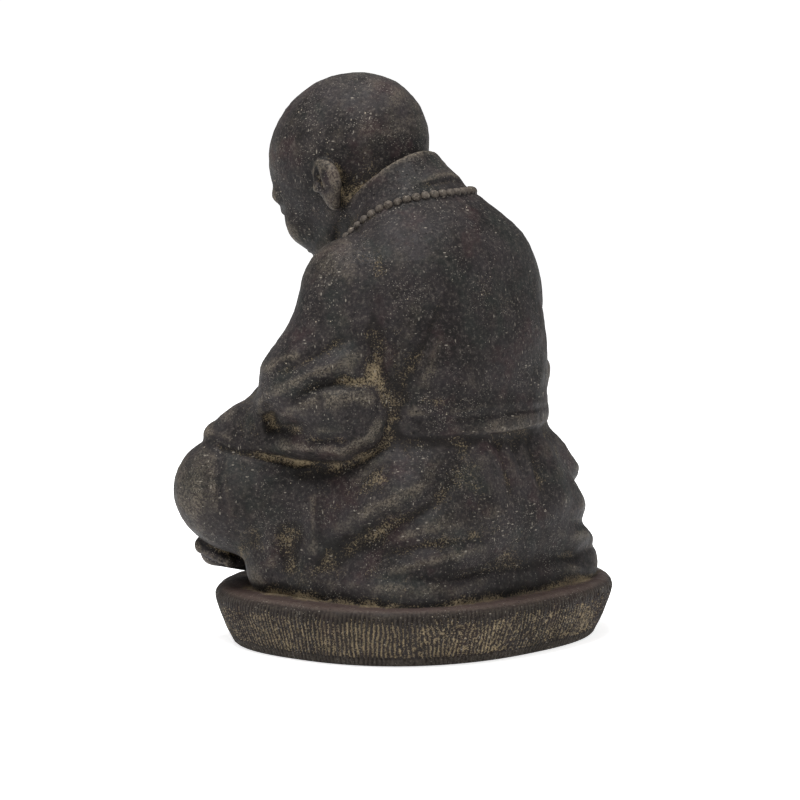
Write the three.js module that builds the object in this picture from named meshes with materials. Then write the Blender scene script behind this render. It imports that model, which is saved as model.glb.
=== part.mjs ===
// A monk seated cross-legged in prayer on a low chiselled pad, cast in one piece of dark fibre cement.
// Millimetres, +Z up. The monk faces -Y, his left side is +X, and the origin is under the middle of the pad.
import * as THREE from "three";
import { edgeTable, triTable } from "three/addons/objects/MarchingCubes.js";

// The whole statue and its pad.
const statueHeight = 400;
const padThickness = 42;
const padHalfWidth = 146;
const padHalfDepth = 127;
const padFootInset = 14;
const padRimRadius = 10;
const padCorner = 2.4;

// What the monk wears.
const beltWidth = 12;
const beltThickness = 3;
const collarThickness = 4;
const collarDepth = 6;
const beadRadius = 3.3;
const beadPitch = 6.8;

// How he holds himself, in degrees.
const headBow = 30;
const handLean = 18;

// How finely the surface is traced, and how many triangles the finished solid keeps.
const traceStep = 3.8;
const keptTriangles = 9600;

// The monk is drawn sitting on z = 0 at this height, and scaled to the height that the statue leaves him.
const drawnHeight = 358;
const figureScale = (statueHeight - padThickness) / drawnHeight;

// How far the drawn monk reaches, with a little room: to each side, to the front or the back, and up.
const drawnHalfWidth = 148;
const drawnHalfDepth = 129;
const drawnTop = 360;

// Small tools for solids given as signed distances, negative inside.
const mix = (a, b, t) => a + (b - a) * t;
const clamp = (t, low, high) => Math.min(Math.max(t, low), high);
const root = (a, b, c = 0) => Math.sqrt(a * a + b * b + c * c);

function ramp(low, high, value) {
  const t = clamp((value - low) / (high - low), 0, 1);
  return t * t * (3 - 2 * t);
}

function melt(a, b, reach) {
  const h = Math.max(reach - Math.abs(a - b), 0) / reach;
  return Math.min(a, b) - (h * h * reach) / 4;
}

const carve = (a, b, reach) => -melt(-a, b, reach);

function ball([cx, cy, cz], r) {
  return (x, y, z) => root(x - cx, y - cy, z - cz) - r;
}

function egg([cx, cy, cz], [rx, ry, rz]) {
  return (x, y, z) => {
    const px = (x - cx) / rx;
    const py = (y - cy) / ry;
    const pz = (z - cz) / rz;
    const near = root(px, py, pz);
    const slope = root(px / rx, py / ry, pz / rz);
    return slope < 1e-9 ? -Math.min(rx, ry, rz) : (near * (near - 1)) / slope;
  };
}

// A limb runs straight from a to b, with a round section that tapers from one radius to the other.
function limb(a, ra, b, rb) {
  const d = [b[0] - a[0], b[1] - a[1], b[2] - a[2]];
  const dd = d[0] * d[0] + d[1] * d[1] + d[2] * d[2];
  return (x, y, z) => {
    const px = x - a[0];
    const py = y - a[1];
    const pz = z - a[2];
    const t = clamp((px * d[0] + py * d[1] + pz * d[2]) / dd, 0, 1);
    return root(px - t * d[0], py - t * d[1], pz - t * d[2]) - mix(ra, rb, t);
  };
}

// A trunk is a stack of level ovals, each [height, half width, half depth, middle in y, squareness].
function trunk(sections) {
  const last = sections.length - 1;
  const at = (i, k) => sections[clamp(i, 0, last)][k];
  const section = (z) => {
    let i = 0;
    while (i < last - 1 && z > sections[i + 1][0]) i += 1;
    const span = at(i + 1, 0) - at(i, 0);
    const t = clamp((z - at(i, 0)) / span, 0, 1);
    return [1, 2, 3, 4].map((k) => {
      const before = ((at(i + 1, k) - at(i - 1, k)) / (at(i + 1, 0) - at(i - 1, 0))) * span;
      const after = ((at(i + 2, k) - at(i, k)) / (at(i + 2, 0) - at(i, 0))) * span;
      const [t2, t3] = [t * t, t * t * t];
      return (
        (2 * t3 - 3 * t2 + 1) * at(i, k) +
        (t3 - 2 * t2 + t) * before +
        (3 * t2 - 2 * t3) * at(i + 1, k) +
        (t3 - t2) * after
      );
    });
  };
  const [floor, top] = [sections[0][0], sections[last][0]];
  return (x, y, z) => {
    const [halfWidth, halfDepth, middle, square] = section(z);
    const [px, py] = [Math.abs(x / halfWidth), Math.abs((y - middle) / halfDepth)];
    const reach = (px ** square + py ** square) ** (1 / square);
    const side = (reach - 1) * Math.min(halfWidth, halfDepth);
    return Math.max(side, floor - z, z - top);
  };
}

// Folds are strokes drawn on a flat view of the statue and carried onto the cloth along the line of sight.
// A stroke is [points, width, rise], with points [across, up] in that view, and a rise below 0 is a groove.
function relief(strokes) {
  return (u, v) => {
    let sum = 0;
    for (const [points, width, rise] of strokes) {
      let nearest = Infinity;
      let place = 0;
      for (let i = 0; i + 1 < points.length; i += 1) {
        const [au, av] = points[i];
        const [du, dv] = [points[i + 1][0] - au, points[i + 1][1] - av];
        const t = clamp(((u - au) * du + (v - av) * dv) / (du * du + dv * dv), 0, 1);
        const gap = root(u - au - t * du, v - av - t * dv);
        if (gap < nearest) {
          nearest = gap;
          place = ((i + t) / (points.length - 1)) * 2 - 1;
        }
      }
      const share = nearest / width;
      if (share < 3) sum += rise * (1 - 0.7 * place ** 4) * Math.exp(-share * share);
    }
    return sum;
  };
}

// The three-quarter view from behind that the side folds are drawn in, as angles in degrees.
const viewTurn = THREE.MathUtils.degToRad(130);
const viewTilt = THREE.MathUtils.degToRad(8);
const acrossX = Math.cos(viewTurn);
const acrossY = Math.sin(viewTurn);
const towardX = Math.sin(viewTurn);
const towardY = -Math.cos(viewTurn);
const upPlan = -Math.sin(viewTilt);
const upZ = Math.cos(viewTilt);

// Both sides of the statue share one drawing. The far side's is shifted a little, as handwork is.
function sideRelief(strokes) {
  const drawn = relief(strokes);
  return (x, y, z) => {
    const side = Math.abs(x);
    const toward = towardX * side + towardY * y;
    let u = acrossX * side + acrossY * y;
    let v = upPlan * toward + upZ * z;
    if (x < 0) {
      u += 3 * Math.sin(v / 23);
      v += 4 * Math.sin(u / 31 + 1);
    }
    return drawn(u, v) * ramp(-10, 25, toward);
  };
}

// Folds on the front are drawn straight on, as [across, up].
function frontRelief(strokes) {
  const drawn = relief(strokes);
  return (x, y, z) => drawn(x, z) * ramp(10, -20, y);
}

// The pad: a thick rounded oval, drawn in under its rim.
function padSolid() {
  return (x, y, z) => {
    const share = clamp(z / padThickness, 0, 1);
    const inset = padFootInset * (1 - share) ** 1.6;
    const halfWidth = padHalfWidth - inset;
    const halfDepth = padHalfDepth - inset;
    const [px, py] = [Math.abs(x / halfWidth), Math.abs(y / halfDepth)];
    const reach = (px ** padCorner + py ** padCorner) ** (1 / padCorner);
    const side = (reach - 1) * halfDepth + padRimRadius;
    const top = z - padThickness + padRimRadius;
    const rim = root(Math.max(side, 0), Math.max(top, 0)) + Math.min(Math.max(side, top), 0) - padRimRadius;
    return Math.max(rim, -z);
  };
}

// The lower robe: the skirt behind, the two thighs and shins under it, and the cloth between them.
const skirtFolds = sideRelief([
  [[[54, 101], [60, 84], [68, 56]], 3.4, -2.4],
  [[[64, 99], [76, 78], [90, 44]], 3.6, -2.6],
  [[[78, 99], [92, 76], [107, 40]], 3.6, -2.6],
  [[[88, 104], [100, 88], [110, 60]], 3, -2.2],
  [[[44, 98], [50, 74], [58, 40]], 8, 1.8],
  [[[33, 82], [14, 56], [-8, 42], [-36, 28], [-66, 10]], 10, -5],
  [[[-12, 96], [-34, 78], [-46, 62]], 8, 2.6],
  [[[8, 66], [-28, 50], [-60, 34]], 9, 3],
  [[[50, 26], [10, 12], [-24, 3]], 8, 3.4],
  [[[60, 36], [30, 27], [4, 25], [-26, 17]], 7, -2.6],
  [[[70, 20], [40, 6], [22, -2]], 5, -2],
  [[[-72, 62], [-71, 16]], 6, 2.4],
  [[[-102, 34], [-100, 6]], 6, 2.6],
  [[[-86, 40], [-88, 4]], 5, -1.8],
  [[[-136, 92], [-137, 70], [-134, 46]], 2.4, -1.8],
  [[[-125, 84], [-84, 77], [-54, 81]], 3, 1.6],
]);
const lapFolds = frontRelief([
  [[[-70, 66], [-30, 44], [0, 38], [34, 46], [72, 68]], 7, 3],
  [[[-58, 46], [-24, 26], [10, 22], [50, 42]], 6, -2.4],
  [[[-40, 22], [0, 8], [44, 20]], 7, 2.4],
]);

function lowerRobe() {
  const skirt = trunk([
    [-6, 117, 73, 30, 3.3],
    [6, 118, 74, 30, 3.3],
    [14, 117, 73, 30, 3.2],
    [20, 112, 71, 30, 3],
    [27, 109, 72, 31, 2.9],
    [38, 108, 74, 31, 2.8],
    [54, 108, 75, 31, 2.7],
    [75, 104, 69, 32, 2.6],
    [96, 92, 62, 33, 2.4],
    [108, 81, 58, 32, 2.2],
    [124, 78, 57, 31, 2.1],
  ]);
  const thigh = limb([52, 12, 52], 48, [106, -84, 67], 38);
  const drape = limb([72, 22, 16], 40, [94, -40, 16], 28);
  const shin = limb([97, -80, 52], 29, [8, -98, 34], 24);
  const apron = egg([0, -60, 24], [78, 46, 44]);
  return (x, y, z) => {
    const side = Math.abs(x);
    let d = melt(skirt(x, y, z), thigh(side, y, z), 22);
    d = melt(d, drape(side, y, z), 16);
    d = melt(d, shin(side, y, z), 14);
    d = melt(d, apron(x, y, z), 26);
    return d - skirtFolds(x, y, z) - lapFolds(x, y, z);
  };
}

// Each foot shows below the other leg's knee, with its toes outwards.
function feet() {
  const sole = limb([62, -94, 14], 13, [100, -101, 21], 11);
  const toes = [0, 1, 2, 3, 4].map((i) => {
    const size = 6.6 - 0.6 * i;
    return egg([111 - 2 * i, -102 + 4.4 * i, 26 - 2.8 * i], [size + 1.5, size - 1, size]);
  });
  return (x, y, z) => {
    const side = Math.abs(x);
    return toes.reduce((d, toe) => melt(d, toe(side, y, z), 2), sole(side, y, z));
  };
}

// The upper robe over the trunk of the body, blousing a little over the belt, with its lapels in front.
const backFolds = sideRelief([
  [[[18, 196], [8, 170], [-6, 142], [-14, 108]], 8, -3.6],
  [[[92, 126], [60, 121], [20, 116]], 5, 1.6],
  [[[74, 214], [80, 160]], 14, -1.2],
  [[[34, 142], [52, 124]], 7, 1.6],
  [[[2, 126], [20, 122]], 6, -1.6],
]);
const lapels = frontRelief([
  [[[40, 240], [22, 214], [0, 184], [-22, 152], [-36, 124]], 4, 2.4],
  [[[-40, 240], [-24, 216], [-8, 196]], 4, 2],
  [[[30, 206], [12, 176], [-4, 150]], 5, -1.6],
]);

function upperRobe() {
  const body = trunk([
    [112, 78, 57, 31, 2.1],
    [123, 80, 59, 31, 2.1],
    [130, 85, 61.5, 28.5, 2.1],
    [142, 85, 62, 27.5, 2.1],
    [178, 85, 62, 26, 2.1],
    [212, 87, 61, 21, 2.05],
    [236, 79, 58, 19, 2],
    [251, 66, 51, 18, 2],
    [262, 54, 43, 14, 2],
    [273, 41, 34, 9, 2],
    [282, 27, 24, 6, 2],
    [288, 8, 8, 4, 2],
  ]);
  return (x, y, z) => body(x, y, z) - backFolds(x, y, z) - lapels(x, y, z);
}

const beltLevel = 119;

function belt() {
  return (x, y, z) => {
    const reach = root(x / (79 + beltThickness), (y - 31) / (59.5 + beltThickness));
    const side = (reach - 1) * 62;
    const [ax, az] = [side + 3, Math.abs(z - beltLevel) - beltWidth / 2 + 3];
    return root(Math.max(ax, 0), Math.max(az, 0)) + Math.min(Math.max(ax, az), 0) - 3;
  };
}

// One arm in its wide sleeve, and the sleeve's cloth spread over the thigh and the knee.
const sleeveFolds = sideRelief([
  [[[-108, 143], [-95, 152], [-78, 157]], 7, 3.4],
  [[[-96, 142], [-80, 148], [-62, 158], [-46, 170]], 6, -3.6],
  [[[-100, 130], [-78, 141], [-54, 150], [-30, 158]], 8, 3],
  [[[-88, 126], [-70, 135], [-50, 138], [-34, 136]], 5, -5.4],
  [[[-64, 122], [-42, 128], [-26, 122]], 12, 4.4],
  [[[-101, 118], [-98, 108], [-76, 105]], 6.5, -7],
  [[[-110, 128], [-108, 112]], 6, 2.4],
  [[[-74, 98], [-44, 97]], 3.4, -2.4],
  [[[-147, 104], [-124, 92], [-88, 90], [-50, 90], [-32, 100], [-22, 114]], 6, 3.4],
  [[[-140, 112], [-118, 118], [-96, 134]], 6, 1.6],
]);

function sleeve() {
  const upperArm = limb([64, 0, 210], 39, [88, -4, 142], 36);
  const foreArm = limb([90, -18, 146], 36, [26, -66, 172], 20);
  const hem = limb([98, -66, 108], 18, [84, 12, 121], 30);
  const point = limb([93, -58, 112], 19, [113, -86, 105], 10);
  const hanging = limb([40, -62, 150], 20, [80, -78, 106], 20);
  return (side, y, z) => {
    let d = melt(upperArm(side, y, z), foreArm(side, y, z), 22);
    d = melt(d, hem(side, y, z), 20);
    d = melt(d, point(side, y, z), 18);
    return melt(d, hanging(side, y, z), 18);
  };
}

// The collar is a tube that leans forward round the neck and flares down to the beads.
const collarMiddle = [0, -27, 271];
const collarLean = Math.PI / 4;

function collar() {
  const [leanCos, leanSin] = [Math.cos(collarLean), Math.sin(collarLean)];
  const tube = (x, fore, along, inset) => {
    const flare = 0.0105 * clamp(along, -30, 0) ** 2;
    const [halfWidth, halfDepth] = [41 + flare - inset, 49.5 + 0.3 * flare - inset];
    return (root(x / halfWidth, fore / halfDepth) - 1) * halfWidth;
  };
  return (x, y, z) => {
    const [dy, dz] = [y - collarMiddle[1], z - collarMiddle[2]];
    const fore = dy * leanCos + dz * leanSin;
    const along = dz * leanCos - dy * leanSin;
    const rim = along + 14 * clamp(-fore / 50, 0, 1) ** 2;
    const outer = -melt(-tube(x, fore, along, 0), -rim, 3);
    const inner = Math.max(tube(x, fore, along, collarThickness), -collarDepth - rim);
    return carve(-melt(-outer, along + 29, 6), inner, 1.5);
  };
}

// The head is drawn upright about the middle of the skull, then bowed: across, forward and up from there.
const headMiddle = [0, -62, 296];
const bow = THREE.MathUtils.degToRad(headBow);
const [bowCos, bowSin] = [Math.cos(bow), Math.sin(bow)];

function ear() {
  const plate = egg([49, -14, -20], [6, 11, 15.5]);
  const lobe = egg([47, -10, -35], [5, 5.5, 7.5]);
  const bowl = egg([57, -12, -19], [7, 6.5, 10.5]);
  const fold = limb([53, -16, -12], 2, [53, -14, -25], 2.2);
  const tragus = ball([51, -4, -22], 3);
  return (side, forward, up) => {
    let d = melt(plate(side, forward, up), lobe(side, forward, up), 6);
    d = carve(d, bowl(side, forward, up), 2);
    d = melt(d, fold(side, forward, up), 2);
    return melt(d, tragus(side, forward, up), 2);
  };
}

function head() {
  const skull = egg([0, -3, 4], [50, 64.5, 54]);
  const face = egg([0, 21, -24], [38, 35, 43]);
  const jaw = egg([0, 28, -46], [28, 25, 22]);
  const jawCorner = limb([32, -2, -38], 10, [18, 32, -54], 8);
  const chin = ball([0, 46, -58], 9.5);
  const cheek = egg([23, 41, -31], [14, 13, 14]);
  const brow = limb([7, 57, -2], 4.5, [33, 45, -5], 4.5);
  const socket = egg([19, 60, -13], [12, 8, 6]);
  const lid = egg([19, 48.5, -14], [11, 8.5, 6]);
  const slit = limb([10, 57, -17.5], 1, [29, 51, -17], 1);
  const bridge = limb([0, 54, -8], 4.5, [0, 64, -31], 6);
  const wing = ball([6.5, 58, -33], 5);
  const upperLip = egg([0, 56, -44], [13, 6, 3.6]);
  const lowerLip = egg([0, 55, -50.5], [11, 6, 4.2]);
  const sideEar = ear();
  return (x, y, z) => {
    const side = Math.abs(x - headMiddle[0]);
    const [back, rise] = [y - headMiddle[1], z - headMiddle[2]];
    const forward = -back * bowCos - rise * bowSin;
    const up = rise * bowCos - back * bowSin;
    const at = (solid) => solid(side, forward, up);
    let d = melt(at(skull), at(face), 16);
    d = melt(d, at(jaw), 14);
    d = melt(d, at(jawCorner), 14);
    if (forward > 20) {
      d = melt(d, at(chin), 8);
      d = melt(d, at(cheek), 10);
      d = melt(d, at(brow), 8);
      d = carve(d, at(socket), 7);
      d = melt(d, at(lid), 3);
      d = carve(d, at(slit), 1.5);
      d = melt(d, melt(at(bridge), at(wing), 3), 5);
      d = melt(d, at(upperLip), 3);
      d = melt(d, at(lowerLip), 3);
    }
    return melt(d, at(sideEar), 2);
  };
}

function neck() {
  return limb([0, 2, 258], 36, [0, -46, 282], 33);
}

// The hands are pressed together under the chin, with the fingers up and the little fingers foremost.
const wrist = [0, -74, 166];
const fingerPitch = 6.6;
const fingerLengths = [26, 31, 28, 20];

function hands() {
  const lean = THREE.MathUtils.degToRad(handLean);
  const [leanCos, leanSin] = [Math.cos(lean), Math.sin(lean)];
  const spot = (x, forward, up) => [
    x,
    wrist[1] - leanCos * forward - leanSin * up,
    wrist[2] - leanSin * forward + leanCos * up,
  ];
  const palm = egg(spot(6, 0, 12), [8, 14, 19]);
  const cuffed = limb(spot(9, 0, -12), 14, spot(7, 0, 4), 10);
  const fingers = fingerLengths.map((reach, i) => {
    const place = (i - 1.5) * fingerPitch;
    return limb(spot(4.6, place, 14), 4.2, spot(3.6, place * 0.82, 18 + reach), 3.3);
  });
  const thumb = limb(spot(7, -12, 4), 5, spot(4, -16, 26), 3.6);
  return (side, y, z) => {
    let d = melt(palm(side, y, z), cuffed(side, y, z), 8);
    d = melt(d, thumb(side, y, z), 2);
    return fingers.reduce((sum, finger) => melt(sum, finger(side, y, z), 1.6), d);
  };
}

// The monk without his beads, and the beads strung on what he wears.
function monk() {
  const parts = {
    lower: lowerRobe(),
    feet: feet(),
    upper: upperRobe(),
    belt: belt(),
    sleeve: sleeve(),
    collar: collar(),
    neck: neck(),
    head: head(),
    hands: hands(),
  };
  return (x, y, z) => {
    const side = Math.abs(x);
    let robe = melt(parts.lower(x, y, z), parts.feet(x, y, z), 3);
    robe = melt(robe, parts.upper(x, y, z), 4);
    robe = melt(robe, parts.belt(x, y, z), 1.5);
    robe = melt(robe, parts.collar(x, y, z), 5);
    const arms = parts.sleeve(side, y, z) - sleeveFolds(x, y, z);
    robe = melt(robe, arms, 5);
    if (z > 140) {
      robe = melt(robe, parts.hands(side, y, z), 3);
      robe = melt(robe, melt(parts.head(x, y, z), parts.neck(x, y, z), 12), 2);
    }
    return robe;
  };
}

const strandShape = [
  [0, 40, 280],
  [24, 34, 279],
  [39, 23, 275],
  [48, 8, 266],
  [53, -10, 249],
  [51, -35, 230],
  [38, -56, 206],
  [18, -68, 184],
  [0, -72, 172],
];

// Each bead is set down onto the cloth by stepping along the slope of the distance.
function beads(surface) {
  const half = strandShape.map((p) => new THREE.Vector3(...p));
  const other = half.slice(1, -1).reverse().map((p) => new THREE.Vector3(-p.x, p.y, p.z));
  const loop = new THREE.CatmullRomCurve3([...half, ...other], true, "centripetal");
  const count = Math.round(loop.getLength() / beadPitch);
  return loop.getSpacedPoints(count).slice(0, -1).map((p) => {
    for (let step = 0; step < 12; step += 1) {
      const off = surface(p.x, p.y, p.z) - beadRadius * 0.35;
      const reach = 0.5;
      const slope = new THREE.Vector3(
        surface(p.x + reach, p.y, p.z) - surface(p.x - reach, p.y, p.z),
        surface(p.x, p.y + reach, p.z) - surface(p.x, p.y - reach, p.z),
        surface(p.x, p.y, p.z + reach) - surface(p.x, p.y, p.z - reach),
      ).normalize();
      p.addScaledVector(slope, -off * 0.7);
    }
    return p;
  });
}

function statue() {
  const pad = padSolid();
  const figure = monk();
  const strand = beads(figure);
  const box = new THREE.Box3().setFromPoints(strand).expandByScalar(beadRadius * 2);
  return (x, y, z) => {
    const [fx, fy, fz] = [x / figureScale, y / figureScale, (z - padThickness) / figureScale];
    let d = figure(fx, fy, fz);
    if (fz > box.min.z && fy > box.min.y && fy < box.max.y && Math.abs(fx) < box.max.x && d < 8) {
      let bead = Infinity;
      for (const p of strand) bead = Math.min(bead, root(fx - p.x, fy - p.y, fz - p.z));
      d = melt(d, bead - beadRadius, 0.8);
    }
    return melt(d * figureScale, pad(x, y, z), 3);
  };
}

// Tracing. The surface is cut out of a cubic lattice, whose corners and edges come in the tables' order.
const cornerSteps = [
  [0, 0, 0],
  [1, 0, 0],
  [1, 1, 0],
  [0, 1, 0],
  [0, 0, 1],
  [1, 0, 1],
  [1, 1, 1],
  [0, 1, 1],
];
const edgeEnds = [
  [0, 1],
  [1, 2],
  [2, 3],
  [3, 0],
  [4, 5],
  [5, 6],
  [6, 7],
  [7, 4],
  [0, 4],
  [1, 5],
  [2, 6],
  [3, 7],
];

// Samples a field on a lattice, block by block. A block far from the surface only gets its middle's value.
function sample(field, low, high, step) {
  const counts = low.map((edge, k) => Math.ceil((high[k] - edge) / step) + 1);
  const [nx, ny, nz] = counts;
  const values = new Float32Array(nx * ny * nz);
  const block = 4;
  const half = (block / 2) * step;
  const farAway = block * step * 1.6 + 4;
  for (let k = 0; k < nz; k += block) {
    for (let j = 0; j < ny; j += block) {
      for (let i = 0; i < nx; i += block) {
        const [x, y, z] = [low[0] + i * step, low[1] + j * step, low[2] + k * step];
        const middle = field(x + half, y + half, z + half);
        const near = Math.abs(middle) < farAway;
        for (let c = k; c < Math.min(k + block, nz); c += 1) {
          for (let b = j; b < Math.min(j + block, ny); b += 1) {
            for (let a = i; a < Math.min(i + block, nx); a += 1) {
              const value = near ? field(x + (a - i) * step, y + (b - j) * step, z + (c - k) * step) : middle;
              values[a + nx * (b + ny * c)] = value;
            }
          }
        }
      }
    }
  }
  return { counts, values };
}

function trace(field, low, high, step) {
  const { counts, values } = sample(field, low, high, step);
  const [nx, ny, nz] = counts;
  const cornerOffsets = cornerSteps.map(([a, b, c]) => a + nx * (b + ny * c));
  const points = [];
  const triangles = [];
  const known = new Map();
  for (let k = 0; k < nz - 1; k += 1) {
    for (let j = 0; j < ny - 1; j += 1) {
      for (let i = 0; i < nx - 1; i += 1) {
        const origin = i + nx * (j + ny * k);
        let bits = 0;
        for (let c = 0; c < 8; c += 1) {
          if (values[origin + cornerOffsets[c]] < 0) bits |= 1 << c;
        }
        if (bits === 0 || bits === 255) continue;
        const onEdge = (edge) => {
          const [from, to] = edgeEnds[edge];
          const [a, b] = [origin + cornerOffsets[from], origin + cornerOffsets[to]];
          const span = Math.abs(a - b);
          const axis = span === 1 ? 0 : span === nx ? 1 : 2;
          const key = Math.min(a, b) * 3 + axis;
          if (!known.has(key)) {
            known.set(key, points.length);
            const t = clamp(values[a] / (values[a] - values[b]), 0.02, 0.98);
            const place = [i, j, k].map((n, q) => n + mix(cornerSteps[from][q], cornerSteps[to][q], t));
            points.push(place.map((n, q) => low[q] + n * step));
          }
          return known.get(key);
        };
        for (let t = bits * 16; triTable[t] !== -1; t += 3) {
          triangles.push([onEdge(triTable[t + 2]), onEdge(triTable[t + 1]), onEdge(triTable[t])]);
        }
      }
    }
  }
  return { points, triangles };
}

// Keeps the one shell that has the most triangles.
function keepLargest({ points, triangles }) {
  const leader = points.map((_, i) => i);
  const find = (i) => {
    let at = i;
    while (leader[at] !== at) {
      leader[at] = leader[leader[at]];
      at = leader[at];
    }
    return at;
  };
  for (const [a, b, c] of triangles) {
    leader[find(a)] = find(b);
    leader[find(b)] = find(c);
  }
  const sizes = new Map();
  for (const [a] of triangles) sizes.set(find(a), (sizes.get(find(a)) ?? 0) + 1);
  const largest = [...sizes].sort((one, two) => two[1] - one[1])[0][0];
  return { points, triangles: triangles.filter(([a]) => find(a) === largest) };
}

// Thinning. Each point carries the sum of the squared distances to its planes, as ten numbers.
const less = (p, q) => [p[0] - q[0], p[1] - q[1], p[2] - q[2]];
const dot = (p, q) => p[0] * q[0] + p[1] * q[1] + p[2] * q[2];
const cross = (p, q) => [p[1] * q[2] - p[2] * q[1], p[2] * q[0] - p[0] * q[2], p[0] * q[1] - p[1] * q[0]];

function planeForm(p, q, r) {
  const n = cross(less(q, p), less(r, p));
  const twice = Math.max(root(n[0], n[1], n[2]), 1e-12);
  const [a, b, c] = [n[0] / twice, n[1] / twice, n[2] / twice];
  const d = -(a * p[0] + b * p[1] + c * p[2]);
  const w = twice / 2;
  return [a * a, a * b, a * c, a * d, b * b, b * c, b * d, c * c, c * d, d * d].map((k) => k * w);
}

function addForms(f, g) {
  const sum = new Float64Array(10);
  for (let i = 0; i < 10; i += 1) sum[i] = f[i] + g[i];
  return sum;
}

function formCost(f, [x, y, z]) {
  const squares = f[0] * x * x + f[4] * y * y + f[7] * z * z + f[9];
  return squares + 2 * (f[1] * x * y + f[2] * x * z + f[5] * y * z + f[3] * x + f[6] * y + f[8] * z);
}

// The point with the least cost, drawn a little towards the middle of the edge so that flats stay even.
function bestPoint(f, middle, pull) {
  const rows = [
    [f[0] + pull, f[1], f[2]],
    [f[1], f[4] + pull, f[5]],
    [f[2], f[5], f[7] + pull],
  ];
  const right = [pull * middle[0] - f[3], pull * middle[1] - f[6], pull * middle[2] - f[8]];
  const last = cross(rows[1], rows[2]);
  const size = dot(rows[0], last);
  if (Math.abs(size) < 1e-12) return middle;
  return [
    dot(right, last) / size,
    dot(rows[0], cross(right, rows[2])) / size,
    dot(rows[0], cross(rows[1], right)) / size,
  ];
}

// A queue that gives back the entry with the least cost first.
class Queue {
  entries = [];

  push(entry) {
    const list = this.entries;
    let at = list.length;
    list.push(entry);
    while (at > 0) {
      const above = (at - 1) >> 1;
      if (list[above].cost <= entry.cost) break;
      list[at] = list[above];
      at = above;
    }
    list[at] = entry;
  }

  pop() {
    const list = this.entries;
    const first = list[0];
    const moved = list.pop();
    if (list.length === 0) return first;
    let at = 0;
    for (;;) {
      let below = 2 * at + 1;
      if (below >= list.length) break;
      if (below + 1 < list.length && list[below + 1].cost < list[below].cost) below += 1;
      if (list[below].cost >= moved.cost) break;
      list[at] = list[below];
      at = below;
    }
    list[at] = moved;
    return first;
  }
}

// Draws edges together, cheapest first, until the wanted number of triangles is left.
function thin({ points, triangles }, wanted) {
  const forms = points.map(() => new Float64Array(10));
  const around = points.map(() => []);
  triangles.forEach((corners, t) => {
    const form = planeForm(points[corners[0]], points[corners[1]], points[corners[2]]);
    for (const c of corners) {
      around[c].push(t);
      for (let i = 0; i < 10; i += 1) forms[c][i] += form[i];
    }
  });
  const stamps = new Uint32Array(points.length);
  const queue = new Queue();
  const offer = (a, b) => {
    const [p, q] = [points[a], points[b]];
    const form = addForms(forms[a], forms[b]);
    const spread = form[0] + form[4] + form[7];
    const middle = [(p[0] + q[0]) / 2, (p[1] + q[1]) / 2, (p[2] + q[2]) / 2];
    const place = bestPoint(form, middle, spread * 0.002);
    const span = less(p, q);
    const cost = formCost(form, place) + spread * 0.0004 * dot(span, span);
    queue.push({ cost, a, b, place, stamp: stamps[a] + stamps[b] });
  };
  const neighbours = (c) => {
    const found = [];
    for (const t of around[c]) {
      for (const n of triangles[t]) {
        if (n !== c && !found.includes(n)) found.push(n);
      }
    }
    return found;
  };
  const turnsOver = (t, from, place) => {
    const [a, b, c] = triangles[t];
    const [p, q, r] = [points[a], points[b], points[c]];
    const [p2, q2, r2] = [a === from ? place : p, b === from ? place : q, c === from ? place : r];
    const [side, otherSide] = [less(q2, p2), less(r2, p2)];
    const [before, after] = [cross(less(q, p), less(r, p)), cross(side, otherSide)];
    const longest = Math.max(dot(side, side), dot(otherSide, otherSide));
    const area = Math.sqrt(dot(after, after));
    return area < 0.06 * longest || dot(before, after) < 0.3 * area * Math.sqrt(dot(before, before));
  };
  for (const [a, b, c] of triangles) {
    if (a < b) offer(a, b);
    if (b < c) offer(b, c);
    if (c < a) offer(c, a);
  }
  const alive = new Uint8Array(triangles.length).fill(1);
  let left = triangles.length;
  while (left > wanted && queue.entries.length > 0) {
    const { a, b, place, stamp } = queue.pop();
    if (!around[a].length || !around[b].length || stamp !== stamps[a] + stamps[b]) continue;
    const beside = neighbours(b);
    const shared = neighbours(a).filter((n) => beside.includes(n));
    const doomed = around[a].filter((t) => around[b].includes(t));
    if (shared.length !== 2 || doomed.length !== 2) continue;
    const spoils = (from) => around[from].some((t) => !doomed.includes(t) && turnsOver(t, from, place));
    if (spoils(a) || spoils(b)) continue;
    for (const t of doomed) alive[t] = 0;
    for (const c of shared) around[c] = around[c].filter((t) => alive[t]);
    for (const t of around[b]) triangles[t] = triangles[t].map((c) => (c === b ? a : c));
    around[a] = [...around[a], ...around[b]].filter((t) => alive[t]);
    around[b] = [];
    points[a] = place;
    forms[a] = addForms(forms[a], forms[b]);
    stamps[a] += 1 + stamps[b];
    left -= 2;
    for (const n of neighbours(a)) offer(a, n);
  }
  return { points, triangles: triangles.filter((_, t) => alive[t]) };
}

function statueGeometry() {
  const margin = traceStep * 1.5;
  const reach = [
    Math.max(padHalfWidth, drawnHalfWidth * figureScale) + 2 * margin,
    Math.max(padHalfDepth, drawnHalfDepth * figureScale) + 2 * margin,
  ];
  const low = [-reach[0], -reach[1], -margin];
  const high = [reach[0], reach[1], padThickness + drawnTop * figureScale + 3 * margin];
  const traced = keepLargest(trace(statue(), low, high, traceStep));
  const { points, triangles } = thin(traced, keptTriangles);
  const order = new Map();
  for (const corner of triangles.flat()) {
    if (!order.has(corner)) order.set(corner, order.size);
  }
  const kept = [...order.keys()].map((corner) => points[corner]);
  const flat = kept.flatMap(([x, y, z]) => [x, y, Math.abs(z) < 0.05 ? 0 : z]);
  const geometry = new THREE.BufferGeometry();
  geometry.setAttribute("position", new THREE.Float32BufferAttribute(flat, 3));
  geometry.setIndex(triangles.flat().map((corner) => order.get(corner)));
  geometry.computeVertexNormals();
  return geometry;
}

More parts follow.
